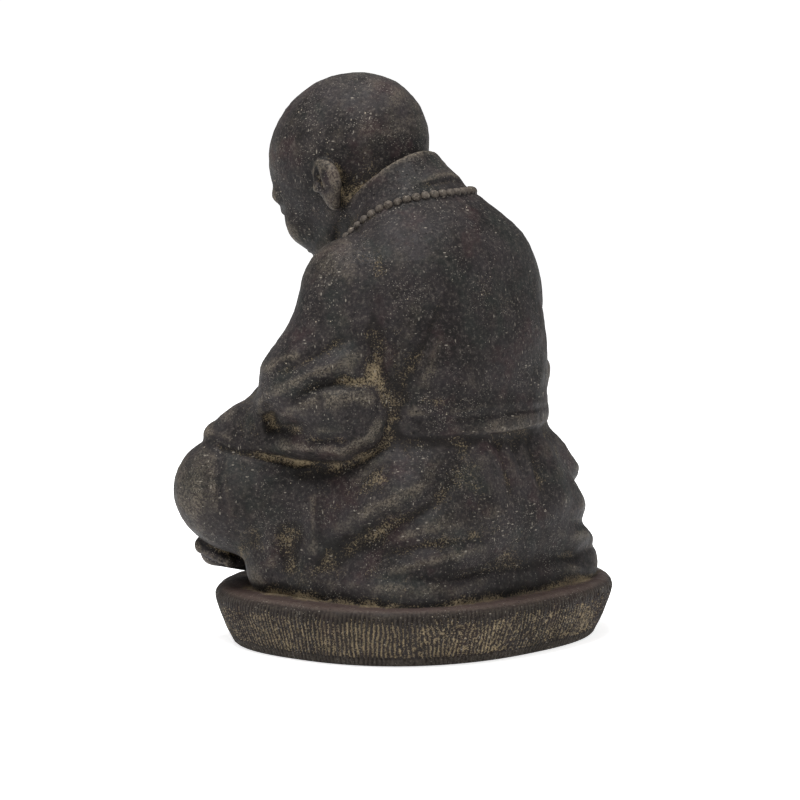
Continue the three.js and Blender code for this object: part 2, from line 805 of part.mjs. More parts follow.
const castStone = new THREE.MeshStandardMaterial({ name: "cast_stone", color: 0x3a3532, roughness: 0.9 });
const monkStatue = new THREE.Mesh(statueGeometry(), castStone);
monkStatue.name = "monk_statue";

const part = new THREE.Group();
part.name = "monk_statue_part";
part.add(monkStatue);

export default part;
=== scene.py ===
"""A monk seated in prayer on a low chiselled pad, cast in dark fibre cement, on a pale studio floor.

Shapes are worked out in millimetres and made in metres. The monk faces -Y and his left side is +X.
"""
import math

import bpy
import numpy as np
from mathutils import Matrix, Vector


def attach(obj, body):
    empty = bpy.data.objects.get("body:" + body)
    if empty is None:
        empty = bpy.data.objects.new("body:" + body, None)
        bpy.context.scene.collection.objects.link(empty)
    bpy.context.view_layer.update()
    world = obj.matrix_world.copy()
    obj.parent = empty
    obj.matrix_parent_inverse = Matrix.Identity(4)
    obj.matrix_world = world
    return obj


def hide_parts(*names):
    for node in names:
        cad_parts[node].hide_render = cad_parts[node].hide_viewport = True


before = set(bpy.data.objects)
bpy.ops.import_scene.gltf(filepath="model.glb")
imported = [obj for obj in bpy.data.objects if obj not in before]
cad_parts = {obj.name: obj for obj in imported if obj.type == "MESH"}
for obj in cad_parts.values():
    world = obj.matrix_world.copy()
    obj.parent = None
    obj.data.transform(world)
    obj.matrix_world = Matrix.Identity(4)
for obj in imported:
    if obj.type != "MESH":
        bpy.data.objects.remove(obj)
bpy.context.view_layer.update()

MM = 0.001

# The whole statue and its pad.
STATUE_HEIGHT = 400.0
PAD_THICKNESS = 42.0
PAD_HALF_WIDTH = 146.0
PAD_HALF_DEPTH = 127.0
PAD_FOOT_INSET = 14.0
PAD_RIM_RADIUS = 10.0
PAD_CORNER = 2.4
PAD_DRAW_IN = 1.6
PLAIN_RIM = 3.5

# What the monk wears, and how he holds himself.
BELT_LEVEL = 119.0
BELT_WIDTH = 12.0
BELT_THICKNESS = 3.0
COLLAR_THICKNESS = 4.0
COLLAR_DEPTH = 6.0
BEAD_RADIUS = 3.3
BEAD_PITCH = 6.8
HEAD_BOW = math.radians(30)
HAND_LEAN = math.radians(18)

# The tool marks on the pad's side.
STROKE_PITCH = 3.3
STROKE_DEPTH = 1.7
COMB_WIDTH = 21.0

# How finely the cast figure is traced, how far it reaches and roots in the pad, and the faces it keeps.
LATTICE_STEP = 1.5
FIGURE_LOW = (-150.0, -134.0)
FIGURE_HIGH = (150.0, 132.0)
FIGURE_ROOT = 15.3
FIGURE_FACES = 90000

# The soft waves in the cast skin, each a height, a size and a seed, and the ease that holds the crown down.
CAST_WAVES = ((0.35, 17, 3), (0.2, 6.5, 4))
CROWN_DEPTH = 4.0
CROWN_EASE = 0.12

# The pad's net: columns to a stroke, rings up the wall, and how far in the rings on its top lie.
COLUMNS_PER_STROKE = 5
WALL_RINGS = 23
RIM_TURNS = (15, 30, 45, 60, 75, 90)
TOP_INSETS = (13, 18, 24, 31, 40)
FOOT_BEVEL, FOOT_BEVEL_HEIGHT = 0.8, 1.2

# How often the strand is drawn down onto the cloth, how far at a time, and how far its beads stand out.
STRAND_SETTLES = 36
STRAND_DRAW, STRAND_DRAW_LIMIT = 0.7, 3
BEAD_STANDS_OUT = 0.05

# The figure is drawn sitting on z = 0 at this height, and scaled to what the pad leaves it.
DRAWN_HEIGHT = 358.0
FIGURE_SCALE = (STATUE_HEIGHT - PAD_THICKNESS) / DRAWN_HEIGHT

FAR = np.float32(50.0)


# ---- Solids as signed distances, negative inside, on flat arrays of x, y and z ----

def root(a, b, c=0.0):
    return np.sqrt(a * a + b * b + c * c)


def ramp(low, high, value):
    t = np.clip((value - low) / (high - low), 0, 1)
    return t * t * (3 - 2 * t)


def melt(a, b, reach):
    h = np.maximum(reach - np.abs(a - b), 0) / reach
    return np.minimum(a, b) - h * h * (reach / 4)


def carve(a, b, reach):
    return -melt(-a, b, reach)


def ball(centre, radius):
    cx, cy, cz = centre
    return lambda x, y, z: root(x - cx, y - cy, z - cz) - radius


def egg(centre, radii):
    (cx, cy, cz), (rx, ry, rz) = centre, radii

    def solid(x, y, z):
        px, py, pz = (x - cx) / rx, (y - cy) / ry, (z - cz) / rz
        near = root(px, py, pz)
        slope = np.maximum(root(px / rx, py / ry, pz / rz), 1e-6)
        return near * (near - 1) / slope

    return solid


def limb(a, ra, b, rb):
    """A round bar from a to b whose radius tapers from ra to rb."""
    a, b = np.array(a, float), np.array(b, float)
    d = b - a
    dd = float(d @ d)

    def solid(x, y, z):
        px, py, pz = x - a[0], y - a[1], z - a[2]
        t = np.clip((px * d[0] + py * d[1] + pz * d[2]) / dd, 0, 1)
        return root(px - t * d[0], py - t * d[1], pz - t * d[2]) - (ra + (rb - ra) * t)

    return solid


def trunk(sections):
    """A stack of level ovals, each (height, half width, half depth, middle in y, squareness)."""
    s = np.array(sections, float)
    last = len(s) - 1
    heights = np.arange(s[0, 0], s[-1, 0] + 0.25, 0.5)
    table = []
    for z in heights:
        i = min(max(int(np.searchsorted(s[:, 0], z, side="left")) - 1, 0), last - 1)
        before, after = s[max(i - 1, 0)], s[min(i + 2, last)]
        span = s[i + 1, 0] - s[i, 0]
        t = (z - s[i, 0]) / span
        slope = (s[i + 1] - before) / (s[i + 1, 0] - before[0]) * span
        next_slope = (after - s[i]) / (after[0] - s[i, 0]) * span
        table.append((2 * t**3 - 3 * t**2 + 1) * s[i] + (t**3 - 2 * t**2 + t) * slope
                     + (3 * t**2 - 2 * t**3) * s[i + 1] + (t**3 - t**2) * next_slope)
    table = np.array(table).T

    def solid(x, y, z):
        half_width, half_depth, middle, square = (
            np.interp(z, heights, row).astype(np.float32) for row in table[1:])
        px, py = np.abs(x / half_width) + 1e-6, np.abs((y - middle) / half_depth) + 1e-6
        reach = (px**square + py**square) ** (1 / square)
        side = (reach - 1) * np.minimum(half_width, half_depth)
        return np.maximum(side, np.maximum(heights[0] - z, z - heights[-1]))

    return solid


# ---- Folds: strokes drawn on a flat view and carried onto the cloth along the line of sight ----

def relief(strokes):
    """Each stroke is (points, width, rise), with points (across, up); a rise below 0 is a groove."""
    made = []
    for points, width, rise in strokes:
        p = np.array(points, float)
        made.append((p, width, rise, p.min(0) - 3 * width, p.max(0) + 3 * width))

    def height(u, v):
        total = np.zeros_like(u)
        low, high = (u.min(), v.min()), (u.max(), v.max())
        for p, width, rise, near, far in made:
            if high[0] < near[0] or high[1] < near[1] or low[0] > far[0] or low[1] > far[1]:
                continue
            nearest = np.full_like(u, 1e9)
            place = np.zeros_like(u)
            for i in range(len(p) - 1):
                d = p[i + 1] - p[i]
                t = np.clip(((u - p[i, 0]) * d[0] + (v - p[i, 1]) * d[1]) / float(d @ d), 0, 1)
                gap = root(u - p[i, 0] - t * d[0], v - p[i, 1] - t * d[1])
                closer = gap < nearest
                nearest = np.where(closer, gap, nearest)
                place = np.where(closer, (i + t) / (len(p) - 1) * 2 - 1, place)
            share = nearest / width
            total += np.where(share < 3, rise * (1 - 0.7 * place**4) * np.exp(-share * share), 0)
        return total

    return height


VIEW_TURN, VIEW_TILT = math.radians(130), math.radians(8)
ACROSS = (math.cos(VIEW_TURN), math.sin(VIEW_TURN))
TOWARD = (math.sin(VIEW_TURN), -math.cos(VIEW_TURN))


def side_relief(strokes):
    """Both sides share one drawing; the far side's is shifted a little, as handwork is."""
    drawn = relief(strokes)

    def height(x, y, z):
        side = np.abs(x)
        toward = TOWARD[0] * side + TOWARD[1] * y
        u = ACROSS[0] * side + ACROSS[1] * y
        v = math.cos(VIEW_TILT) * z - math.sin(VIEW_TILT) * toward
        other = x < 0
        u = np.where(other, u + 3 * np.sin(v / 23), u)
        v = np.where(other, v + 4 * np.sin(u / 31 + 1), v)
        return drawn(u, v) * ramp(-10, 25, toward)

    return height


def front_relief(strokes):
    drawn = relief(strokes)
    return lambda x, y, z: drawn(x, z) * ramp(10, -20, y)


SKIRT_FOLDS = side_relief([
    ([(54, 101), (60, 84), (68, 56)], 3.4, -2.4),
    ([(64, 99), (76, 78), (90, 44)], 3.6, -2.6),
    ([(78, 99), (92, 76), (107, 40)], 3.6, -2.6),
    ([(88, 104), (100, 88), (110, 60)], 3, -2.2),
    ([(44, 98), (50, 74), (58, 40)], 8, 1.8),
    ([(33, 82), (14, 56), (-8, 42), (-36, 28), (-66, 10)], 10, -5),
    ([(-12, 96), (-34, 78), (-46, 62)], 8, 2.6),
    ([(8, 66), (-28, 50), (-60, 34)], 9, 3),
    ([(50, 26), (10, 12), (-24, 3)], 8, 3.4),
    ([(60, 36), (30, 27), (4, 25), (-26, 17)], 7, -2.6),
    ([(70, 20), (40, 6), (22, -2)], 5, -2),
    ([(-72, 62), (-71, 16)], 6, 2.4),
    ([(-102, 34), (-100, 6)], 6, 2.6),
    ([(-86, 40), (-88, 4)], 5, -1.8),
    ([(-136, 92), (-137, 70), (-134, 46)], 2.4, -1.8),
    ([(-125, 84), (-84, 77), (-54, 81)], 3, 1.6),
])
LAP_FOLDS = front_relief([
    ([(-70, 66), (-30, 44), (0, 38), (34, 46), (72, 68)], 7, 3),
    ([(-58, 46), (-24, 26), (10, 22), (50, 42)], 6, -2.4),
    ([(-40, 22), (0, 8), (44, 20)], 7, 2.4),
])
BACK_FOLDS = side_relief([
    ([(18, 196), (8, 170), (-6, 142), (-14, 108)], 8, -3.6),
    ([(92, 126), (60, 121), (20, 116)], 5, 1.6),
    ([(74, 214), (80, 160)], 14, -1.2),
    ([(34, 142), (52, 124)], 7, 1.6),
    ([(2, 126), (20, 122)], 6, -1.6),
])
LAPELS = front_relief([
    ([(40, 240), (22, 214), (0, 184), (-22, 152), (-36, 124)], 4, 2.4),
    ([(-40, 240), (-24, 216), (-8, 196)], 4, 2),
    ([(30, 206), (12, 176), (-4, 150)], 5, -1.6),
])
SLEEVE_FOLDS = side_relief([
    ([(-108, 143), (-95, 152), (-78, 157)], 7, 3.4),
    ([(-96, 142), (-80, 148), (-62, 158), (-46, 170)], 6, -3.6),
    ([(-100, 130), (-78, 141), (-54, 150), (-30, 158)], 8, 3),
    ([(-88, 126), (-70, 135), (-50, 138), (-34, 136)], 5, -5.4),
    ([(-64, 122), (-42, 128), (-26, 122)], 12, 4.4),
    ([(-101, 118), (-98, 108), (-76, 105)], 6.5, -7),
    ([(-110, 128), (-108, 112)], 6, 2.4),
    ([(-74, 98), (-44, 97)], 3.4, -2.4),
    ([(-147, 104), (-124, 92), (-88, 90), (-50, 90), (-32, 100), (-22, 114)], 6, 3.4),
    ([(-140, 112), (-118, 118), (-96, 134)], 6, 1.6),
])


# ---- The figure's parts ----

def lower_robe():
    skirt = trunk([
        (-6, 117, 73, 30, 3.3),
        (6, 118, 74, 30, 3.3),
        (14, 117, 73, 30, 3.2),
        (20, 112, 71, 30, 3),
        (27, 109, 72, 31, 2.9),
        (38, 108, 74, 31, 2.8),
        (54, 108, 75, 31, 2.7),
        (75, 104, 69, 32, 2.6),
        (96, 92, 62, 33, 2.4),
        (108, 81, 58, 32, 2.2),
        (124, 78, 57, 31, 2.1),
    ])
    thigh = limb((52, 12, 52), 48, (106, -84, 67), 38)
    drape = limb((72, 22, 16), 40, (94, -40, 16), 28)
    shin = limb((97, -80, 52), 29, (8, -98, 34), 24)
    apron = egg((0, -60, 24), (78, 46, 44))

    def solid(x, y, z):
        side = np.abs(x)
        d = melt(skirt(x, y, z), thigh(side, y, z), 22)
        d = melt(d, drape(side, y, z), 16)
        d = melt(d, shin(side, y, z), 14)
        d = melt(d, apron(x, y, z), 26)
        return d - SKIRT_FOLDS(x, y, z) - LAP_FOLDS(x, y, z)

    return solid


def feet():
    sole = limb((62, -94, 14), 13, (100, -101, 21), 11)
    toes = []
    for i in range(5):
        size = 6.6 - 0.6 * i
        toes.append(egg((111 - 2 * i, -102 + 4.4 * i, 26 - 2.8 * i), (size + 1.5, size - 1, size)))

    def solid(x, y, z):
        side = np.abs(x)
        d = sole(side, y, z)
        for toe in toes:
            d = melt(d, toe(side, y, z), 1.4)
        return d

    return solid


def upper_robe():
    body = trunk([
        (112, 78, 57, 31, 2.1),
        (123, 80, 59, 31, 2.1),
        (130, 85, 61.5, 28.5, 2.1),
        (142, 85, 62, 27.5, 2.1),
        (178, 85, 62, 26, 2.1),
        (212, 87, 61, 21, 2.05),
        (236, 79, 58, 19, 2),
        (251, 66, 51, 18, 2),
        (262, 54, 43, 14, 2),
        (273, 41, 34, 9, 2),
        (282, 27, 24, 6, 2),
        (288, 8, 8, 4, 2),
    ])
    return lambda x, y, z: body(x, y, z) - BACK_FOLDS(x, y, z) - LAPELS(x, y, z)


def belt():
    def solid(x, y, z):
        side = (root(x / (79 + BELT_THICKNESS), (y - 31) / (59.5 + BELT_THICKNESS)) - 1) * 62
        ax, az = side + 3, np.abs(z - BELT_LEVEL) - BELT_WIDTH / 2 + 3
        return root(np.maximum(ax, 0), np.maximum(az, 0)) + np.minimum(np.maximum(ax, az), 0) - 3

    return solid


def sleeves():
    upper_arm = limb((64, 0, 210), 39, (88, -4, 142), 36)
    fore_arm = limb((90, -18, 146), 36, (26, -66, 172), 20)
    hem = limb((98, -66, 108), 18, (84, 12, 121), 30)
    point = limb((93, -58, 112), 19, (113, -86, 105), 10)
    hanging = limb((40, -62, 150), 20, (80, -78, 106), 20)

    def solid(x, y, z):
        side = np.abs(x)
        d = melt(upper_arm(side, y, z), fore_arm(side, y, z), 22)
        d = melt(d, hem(side, y, z), 20)
        d = melt(d, point(side, y, z), 18)
        return melt(d, hanging(side, y, z), 18) - SLEEVE_FOLDS(x, y, z)

    return solid


COLLAR_MIDDLE = (0, -27, 271)
COLLAR_LEAN = math.radians(45)


def collar():
    lean_cos, lean_sin = math.cos(COLLAR_LEAN), math.sin(COLLAR_LEAN)

    def tube(x, fore, along, inset):
        flare = 0.0105 * np.clip(along, -30, 0) ** 2
        half_width, half_depth = 41 + flare - inset, 49.5 + 0.3 * flare - inset
        return (root(x / half_width, fore / half_depth) - 1) * half_width

    def solid(x, y, z):
        dy, dz = y - COLLAR_MIDDLE[1], z - COLLAR_MIDDLE[2]
        fore = dy * lean_cos + dz * lean_sin
        along = dz * lean_cos - dy * lean_sin
        rim = along + 14 * np.clip(-fore / 50, 0, 1) ** 2
        outer = -melt(-tube(x, fore, along, 0), -rim, 3)
        inner = np.maximum(tube(x, fore, along, COLLAR_THICKNESS), -COLLAR_DEPTH - rim)
        return carve(-melt(-outer, along + 29, 6), inner, 1.5)

    return solid


HEAD_MIDDLE = (0, -62, 296)


def ear():
    plate = egg((49, -14, -20), (6, 11, 15.5))
    lobe = egg((47, -10, -35), (5, 5.5, 7.5))
    bowl = egg((57, -12, -19), (7, 6.5, 10.5))
    fold = limb((53, -16, -12), 2, (53, -14, -25), 2.2)
    tragus = ball((51, -4, -22), 3)

    def solid(side, forward, up):
        d = melt(plate(side, forward, up), lobe(side, forward, up), 6)
        d = carve(d, bowl(side, forward, up), 2)
        d = melt(d, fold(side, forward, up), 2)
        return melt(d, tragus(side, forward, up), 2)

    return solid


def head():
    skull = egg((0, -3, 4), (50, 64.5, 54))
    face = egg((0, 21, -24), (38, 35, 43))
    jaw = egg((0, 28, -46), (28, 25, 22))
    jaw_corner = limb((32, -2, -38), 10, (18, 32, -54), 8)
    chin = ball((0, 46, -58), 9.5)
    cheek = egg((23, 41, -31), (14, 13, 14))
    brow = limb((7, 57, -2), 4.5, (33, 45, -5), 4.5)
    socket = egg((19, 60, -13), (12, 8, 6))
    lid = egg((19, 48.5, -14), (11, 8.5, 6))
    slit = limb((10, 57, -17.5), 1, (29, 51, -17), 1)
    bridge = limb((0, 54, -8), 4.5, (0, 64, -31), 6)
    wing = ball((6.5, 58, -33), 5)
    upper_lip = egg((0, 56, -44), (13, 6, 3.6))
    lower_lip = egg((0, 55, -50.5), (11, 6, 4.2))
    side_ear = ear()
    bow_cos, bow_sin = math.cos(HEAD_BOW), math.sin(HEAD_BOW)

    def solid(x, y, z):
        side = np.abs(x - HEAD_MIDDLE[0])
        back, rise = y - HEAD_MIDDLE[1], z - HEAD_MIDDLE[2]
        forward = -back * bow_cos - rise * bow_sin
        up = rise * bow_cos - back * bow_sin
        here = (side, forward, up)
        d = melt(skull(*here), face(*here), 16)
        d = melt(d, jaw(*here), 14)
        d = melt(d, jaw_corner(*here), 14)
        if forward.max() > 20:
            f = melt(d, chin(*here), 8)
            f = melt(f, cheek(*here), 10)
            f = melt(f, brow(*here), 8)
            f = carve(f, socket(*here), 7)
            f = melt(f, lid(*here), 3)
            f = carve(f, slit(*here), 1.5)
            f = melt(f, melt(bridge(*here), wing(*here), 3), 5)
            f = melt(f, upper_lip(*here), 3)
            f = melt(f, lower_lip(*here), 3)
            d = np.where(forward > 20, f, d)
        return melt(d, side_ear(*here), 2)

    return solid


WRIST = (0, -74, 166)
FINGER_PITCH = 6.6
FINGER_LENGTHS = (26, 31, 28, 20)


def hands():
    lean_cos, lean_sin = math.cos(HAND_LEAN), math.sin(HAND_LEAN)

    def spot(x, forward, up):
        return (x, WRIST[1] - lean_cos * forward - lean_sin * up,
                WRIST[2] - lean_sin * forward + lean_cos * up)

    palm = egg(spot(6, 0, 12), (8, 14, 19))
    cuffed = limb(spot(9, 0, -12), 14, spot(7, 0, 4), 10)
    thumb = limb(spot(7, -12, 4), 5, spot(4, -16, 26), 3.6)
    fingers = []
    for i, reach in enumerate(FINGER_LENGTHS):
        place = (i - 1.5) * FINGER_PITCH
        fingers.append(limb(spot(4.6, place, 14), 4.2, spot(3.6, place * 0.82, 18 + reach), 3.3))

    def solid(x, y, z):
        side = np.abs(x)
        d = melt(palm(side, y, z), cuffed(side, y, z), 8)
        d = melt(d, thumb(side, y, z), 1.6)
        for finger in fingers:
            d = melt(d, finger(side, y, z), 1.2)
        return d

    return solid


# Each part with the heights it lies between and how far it melts into what is there before it.
PARTS = [
    (lower_robe(), -40, 140, 1),
    (feet(), -10, 48, 3),
    (upper_robe(), 100, 300, 4),
    (belt(), 104, 134, 1.5),
    (collar(), 215, 325, 5),
    (sleeves(), 70, 262, 5),
    (hands(), 135, 235, 3),
]
HEAD, NECK = head(), limb((0, 2, 258), 36, (0, -46, 282), 33)


def figure(x, y, z):
    """The distance to the monk, drawn sitting on z = 0."""
    low, high = z.min() - 15, z.max() + 15
    d = np.full_like(x, FAR)
    for part, floor, top, reach in PARTS:
        if high > floor and low < top:
            d = melt(d, part(x, y, z), reach)
    if high > 195:
        d = melt(d, melt(HEAD(x, y, z), NECK(x, y, z), 12), 2)
    return np.maximum(d, -9 - z)


def figure_at(points, kind=np.float32):
    """The distance at an array of points in the statue's frame, worked out patch by patch."""
    p = np.asarray(points, kind)
    patch = np.floor(p / 26).astype(np.int64)
    order = np.lexsort((patch[:, 0], patch[:, 1], patch[:, 2]))
    out = np.empty(len(p), kind)
    for start in range(0, len(p), 8192):
        pick = order[start:start + 8192]
        x, y, z = p[pick].T
        out[pick] = figure(x / FIGURE_SCALE, y / FIGURE_SCALE, (z - PAD_THICKNESS) / FIGURE_SCALE)
    return out * FIGURE_SCALE


def figure_slope(points, reach=0.4, kind=np.float32):
    slope = np.empty_like(points)
    for axis in range(3):
        step = np.zeros(3, np.float32)
        step[axis] = reach
        slope[:, axis] = figure_at(points + step, kind) - figure_at(points - step, kind)
    return slope / np.maximum(np.linalg.norm(slope, axis=1, keepdims=True), 1e-6)


# ---- Tracing the figure's surface ----

def sample_lattice(low, counts, step, block=8):
    """Distances on a cubic lattice. A block far from the surface only gets its middle's value."""
    values = np.empty(counts, np.float32)
    grid = [np.arange(0, n, block) for n in counts]
    corner = np.stack(np.meshgrid(*grid, indexing="ij"), -1).reshape(-1, 3)
    middles = figure_at(low + (corner + block / 2) * step)
    near = np.abs(middles) < block * step * 0.9 + 5
    inner = np.stack(np.meshgrid(*[np.arange(block)] * 3, indexing="ij"), -1).reshape(-1, 3)
    for (i, j, k), middle in zip(corner[~near], middles[~near]):
        values[i:i + block, j:j + block, k:k + block] = middle
    busy = corner[near]
    for start in range(0, len(busy), 256):
        some = busy[start:start + 256]
        nodes = (some[:, None, :] + inner[None]).reshape(-1, 3)
        values[nodes[:, 0], nodes[:, 1], nodes[:, 2]] = figure_at(low + nodes * step)
    return values


def trace(values, low, step):
    """A closed net of four-sided faces: one point in each cell that the surface passes through."""
    inside = values < 0
    steps = [(a, b, c) for a in (0, 1) for b in (0, 1) for c in (0, 1)]
    cells = [n - 1 for n in values.shape]

    def shifted(array, a, b, c):
        return array[a:a + cells[0], b:b + cells[1], c:c + cells[2]]

    count = np.zeros(cells, np.uint8)
    for s in steps:
        count += shifted(inside, *s)
    active = (count > 0) & (count < 8)
    index = np.full(cells, -1, np.int32)
    where = np.argwhere(active)
    index[active] = np.arange(len(where))
    corner = {s: shifted(values, *s)[active] for s in steps}
    total, hits = np.zeros((len(where), 3)), np.zeros(len(where))
    for s in steps:
        for axis in range(3):
            if s[axis]:
                continue
            other = tuple(1 if q == axis else s[q] for q in range(3))
            a, b = corner[s], corner[other]
            crossing = (a < 0) != (b < 0)
            t = np.where(crossing, a / np.where(crossing, a - b, 1), 0)
            spot = np.tile(np.array(s, float), (len(where), 1))
            spot[:, axis] += t
            total[crossing] += spot[crossing]
            hits += crossing
    points = low + (where + total / hits[:, None]) * step
    faces = []
    for axis in range(3):
        u, v = (axis + 1) % 3, (axis + 2) % 3
        a = inside[tuple(slice(0, -1) if q == axis else slice(1, -1) for q in range(3))]
        b = inside[tuple(slice(1, None) if q == axis else slice(1, -1) for q in range(3))]
        spots = np.argwhere(a != b)
        leaving = a[a != b]
        spots = spots + np.array([0 if q == axis else 1 for q in range(3)])
        ring = []
        for du, dv in ((1, 1), (0, 1), (0, 0), (1, 0)):
            cell = spots.copy()
            cell[:, u] -= du
            cell[:, v] -= dv
            ring.append(index[cell[:, 0], cell[:, 1], cell[:, 2]])
        ring = np.stack(ring, 1)
        faces.append(np.where(leaving[:, None], ring, ring[:, ::-1]))
    return points.astype(np.float32), np.concatenate(faces)


def fill_pinches(values):
    """Fills lattice spots where the surface would touch itself along a line, until none is left."""
    for _ in range(8):
        inside = values < 0
        filled = 0
        for axis in range(3):
            u, v = [q for q in range(3) if q != axis]

            def at(du, dv):
                return tuple(slice(du, values.shape[q] - 1 + du) if q == u else
                             slice(dv, values.shape[q] - 1 + dv) if q == v else slice(None) for q in range(3))

            a, b, c, d = inside[at(0, 0)], inside[at(1, 0)], inside[at(0, 1)], inside[at(1, 1)]
            for pinch, spots in ((a & d & ~b & ~c, (at(1, 0), at(0, 1))),
                                 (b & c & ~a & ~d, (at(0, 0), at(1, 1)))):
                if pinch.any():
                    filled += int(pinch.sum())
                    for spot in spots:
                        patch = values[spot]
                        patch[pinch] = -0.05
        if not filled:
            break
    return values


def mesh_of(name, points_mm, faces):
    mesh = bpy.data.meshes.new(name)
    mesh.from_pydata((np.asarray(points_mm, float) * MM).tolist(), [], faces)
    mesh.validate()
    return mesh


def shown(name, mesh):
    piece = bpy.data.objects.new(name, mesh)
    bpy.context.scene.collection.objects.link(piece)
    return piece


def finish_mesh(piece):
    """Works the piece's modifiers into its mesh and takes them off."""
    bpy.context.view_layer.update()
    made = bpy.data.meshes.new_from_object(piece.evaluated_get(bpy.context.evaluated_depsgraph_get()))
    old = piece.data
    piece.modifiers.clear()
    piece.data = made
    bpy.data.meshes.remove(old)


def positions(mesh):
    out = np.empty(len(mesh.vertices) * 3, np.float32)
    mesh.vertices.foreach_get("co", out)
    return out.reshape(-1, 3) / MM


def keep_largest(points, faces):
    """Drops any crumb that isn't joined to the main surface."""
    leader = np.arange(len(points))
    edges = np.concatenate([faces[:, [0, 1]], faces[:, [1, 2]], faces[:, [2, 3]]])
    for _ in range(400):
        low = np.minimum(leader[edges[:, 0]], leader[edges[:, 1]])
        fresh = leader.copy()
        np.minimum.at(fresh, edges[:, 0], low)
        np.minimum.at(fresh, edges[:, 1], low)
        fresh = fresh[fresh]
        if (fresh == leader).all():
            break
        leader = fresh
    names, sizes = np.unique(leader, return_counts=True)
    kept = leader == names[np.argmax(sizes)]
    renumber = np.cumsum(kept) - 1
    return points[kept], renumber[faces[kept[faces[:, 0]]]]


def unevenness(points, size, seed):
    """Soft random waves of about the given size, from -1 to 1, the same on every run."""
    draw = np.random.default_rng(seed)
    total = np.zeros(len(points))
    for octave in range(3):
        for _ in range(6):
            way = draw.normal(size=3)
            way *= 2 * math.pi * 2**octave / (size * np.linalg.norm(way))
            total += np.sin(points @ way + draw.uniform(0, 2 * math.pi)) / 2**octave
    return total / 6


def make_figure():
    step = LATTICE_STEP
    low = np.array([*FIGURE_LOW, PAD_THICKNESS - FIGURE_ROOT])
    high = np.array([*FIGURE_HIGH, STATUE_HEIGHT + 6])
    counts = (np.ceil((high - low) / step / 8).astype(int) + 1) * 8
    values = fill_pinches(sample_lattice(low, counts, step))
    points, faces = keep_largest(*trace(values, low, step))
    for _ in range(2):
        slope = figure_slope(points)
        points = points - slope * np.clip(figure_at(points), -1, 1)[:, None]
    above = ramp(PAD_THICKNESS, PAD_THICKNESS + 6, points[:, 2])
    rough = sum(height * unevenness(points, size, seed) for height, size, seed in CAST_WAVES)
    points = points + figure_slope(points) * (rough * above)[:, None]
    # The roughness never lifts the crown past the statue's height.
    points[:, 2] -= CROWN_EASE * np.maximum(points[:, 2] - (STATUE_HEIGHT - CROWN_DEPTH), 0)
    piece = shown("monk_cast", mesh_of("monk_cast", points, faces.tolist()))
    thin = piece.modifiers.new("thin", "DECIMATE")
    thin.ratio = min(1.0, FIGURE_FACES / (2 * len(faces)))
    finish_mesh(piece)
    return piece


# ---- The pad ----

def pad_reach(angle, half_width, half_depth):
    """How far the oval reaches at an angle."""
    c, s = np.abs(np.cos(angle)) / half_width, np.abs(np.sin(angle)) / half_depth
    return (c**PAD_CORNER + s**PAD_CORNER) ** (-1 / PAD_CORNER)


def pad_ring(angle, z, side):
    """A ring of the pad at height z, where side is how far it stands in from the full oval."""
    share = min(max(z / PAD_THICKNESS, 0), 1)
    inset = PAD_FOOT_INSET * (1 - share) ** PAD_DRAW_IN
    half_width, half_depth = PAD_HALF_WIDTH - inset, PAD_HALF_DEPTH - inset
    reach = pad_reach(angle, half_width, half_depth) * (1 - side / half_depth)
    return np.stack([reach * np.cos(angle), reach * np.sin(angle), np.full_like(angle, z)], 1)


def make_pad():
    fine = np.linspace(0, 2 * math.pi, 6001)
    middle = pad_ring(fine, PAD_THICKNESS * 0.6, 0)
    run = np.concatenate([[0], np.cumsum(np.linalg.norm(np.diff(middle, axis=0), axis=1))])
    columns = COLUMNS_PER_STROKE * round(run[-1] / STROKE_PITCH)
    along = np.arange(columns) / columns * run[-1]
    angle = np.interp(along, run, fine)
    rings, downs = [], []
    shoulder = PAD_THICKNESS - PAD_RIM_RADIUS
    for z in np.linspace(0, shoulder, WALL_RINGS):
        rings.append(pad_ring(angle, z, FOOT_BEVEL * (1 - min(z / FOOT_BEVEL_HEIGHT, 1))))
        downs.append(PAD_THICKNESS - z)
    for turn in np.radians(RIM_TURNS):
        z = shoulder + PAD_RIM_RADIUS * math.sin(turn)
        rings.append(pad_ring(angle, z, PAD_RIM_RADIUS * (1 - math.cos(turn))))
        downs.append(PAD_THICKNESS - z)
    for inward in TOP_INSETS:
        rings.append(pad_ring(angle, PAD_THICKNESS, inward))
        downs.append(0.0)
    points = np.concatenate(rings + [np.array([[0, 0, PAD_THICKNESS], [0, 0, 0]])])
    faces = []
    for r in range(len(rings) - 1):
        for c in range(columns):
            n = (c + 1) % columns
            faces.append((r * columns + c, r * columns + n, (r + 1) * columns + n, (r + 1) * columns + c))
    top, bottom, last = len(points) - 2, len(points) - 1, (len(rings) - 1) * columns
    for c in range(columns):
        n = (c + 1) % columns
        faces.append((last + c, last + n, top))
        faces.append((n, c, bottom))
    mesh = mesh_of("pad_cast", points, faces)
    round_the_pad = np.concatenate([np.tile(along, len(rings)), [0, 0]])
    down = np.concatenate([np.repeat(downs, columns), [0, PAD_THICKNESS]])
    for name, values in (("round_the_pad", round_the_pad), ("down_the_side", down)):
        mesh.attributes.new(name, "FLOAT", "POINT").data.foreach_set("value", values.astype(np.float32))
    return shown("pad_cast", mesh), run[-1]


# ---- Geometry node trees ----

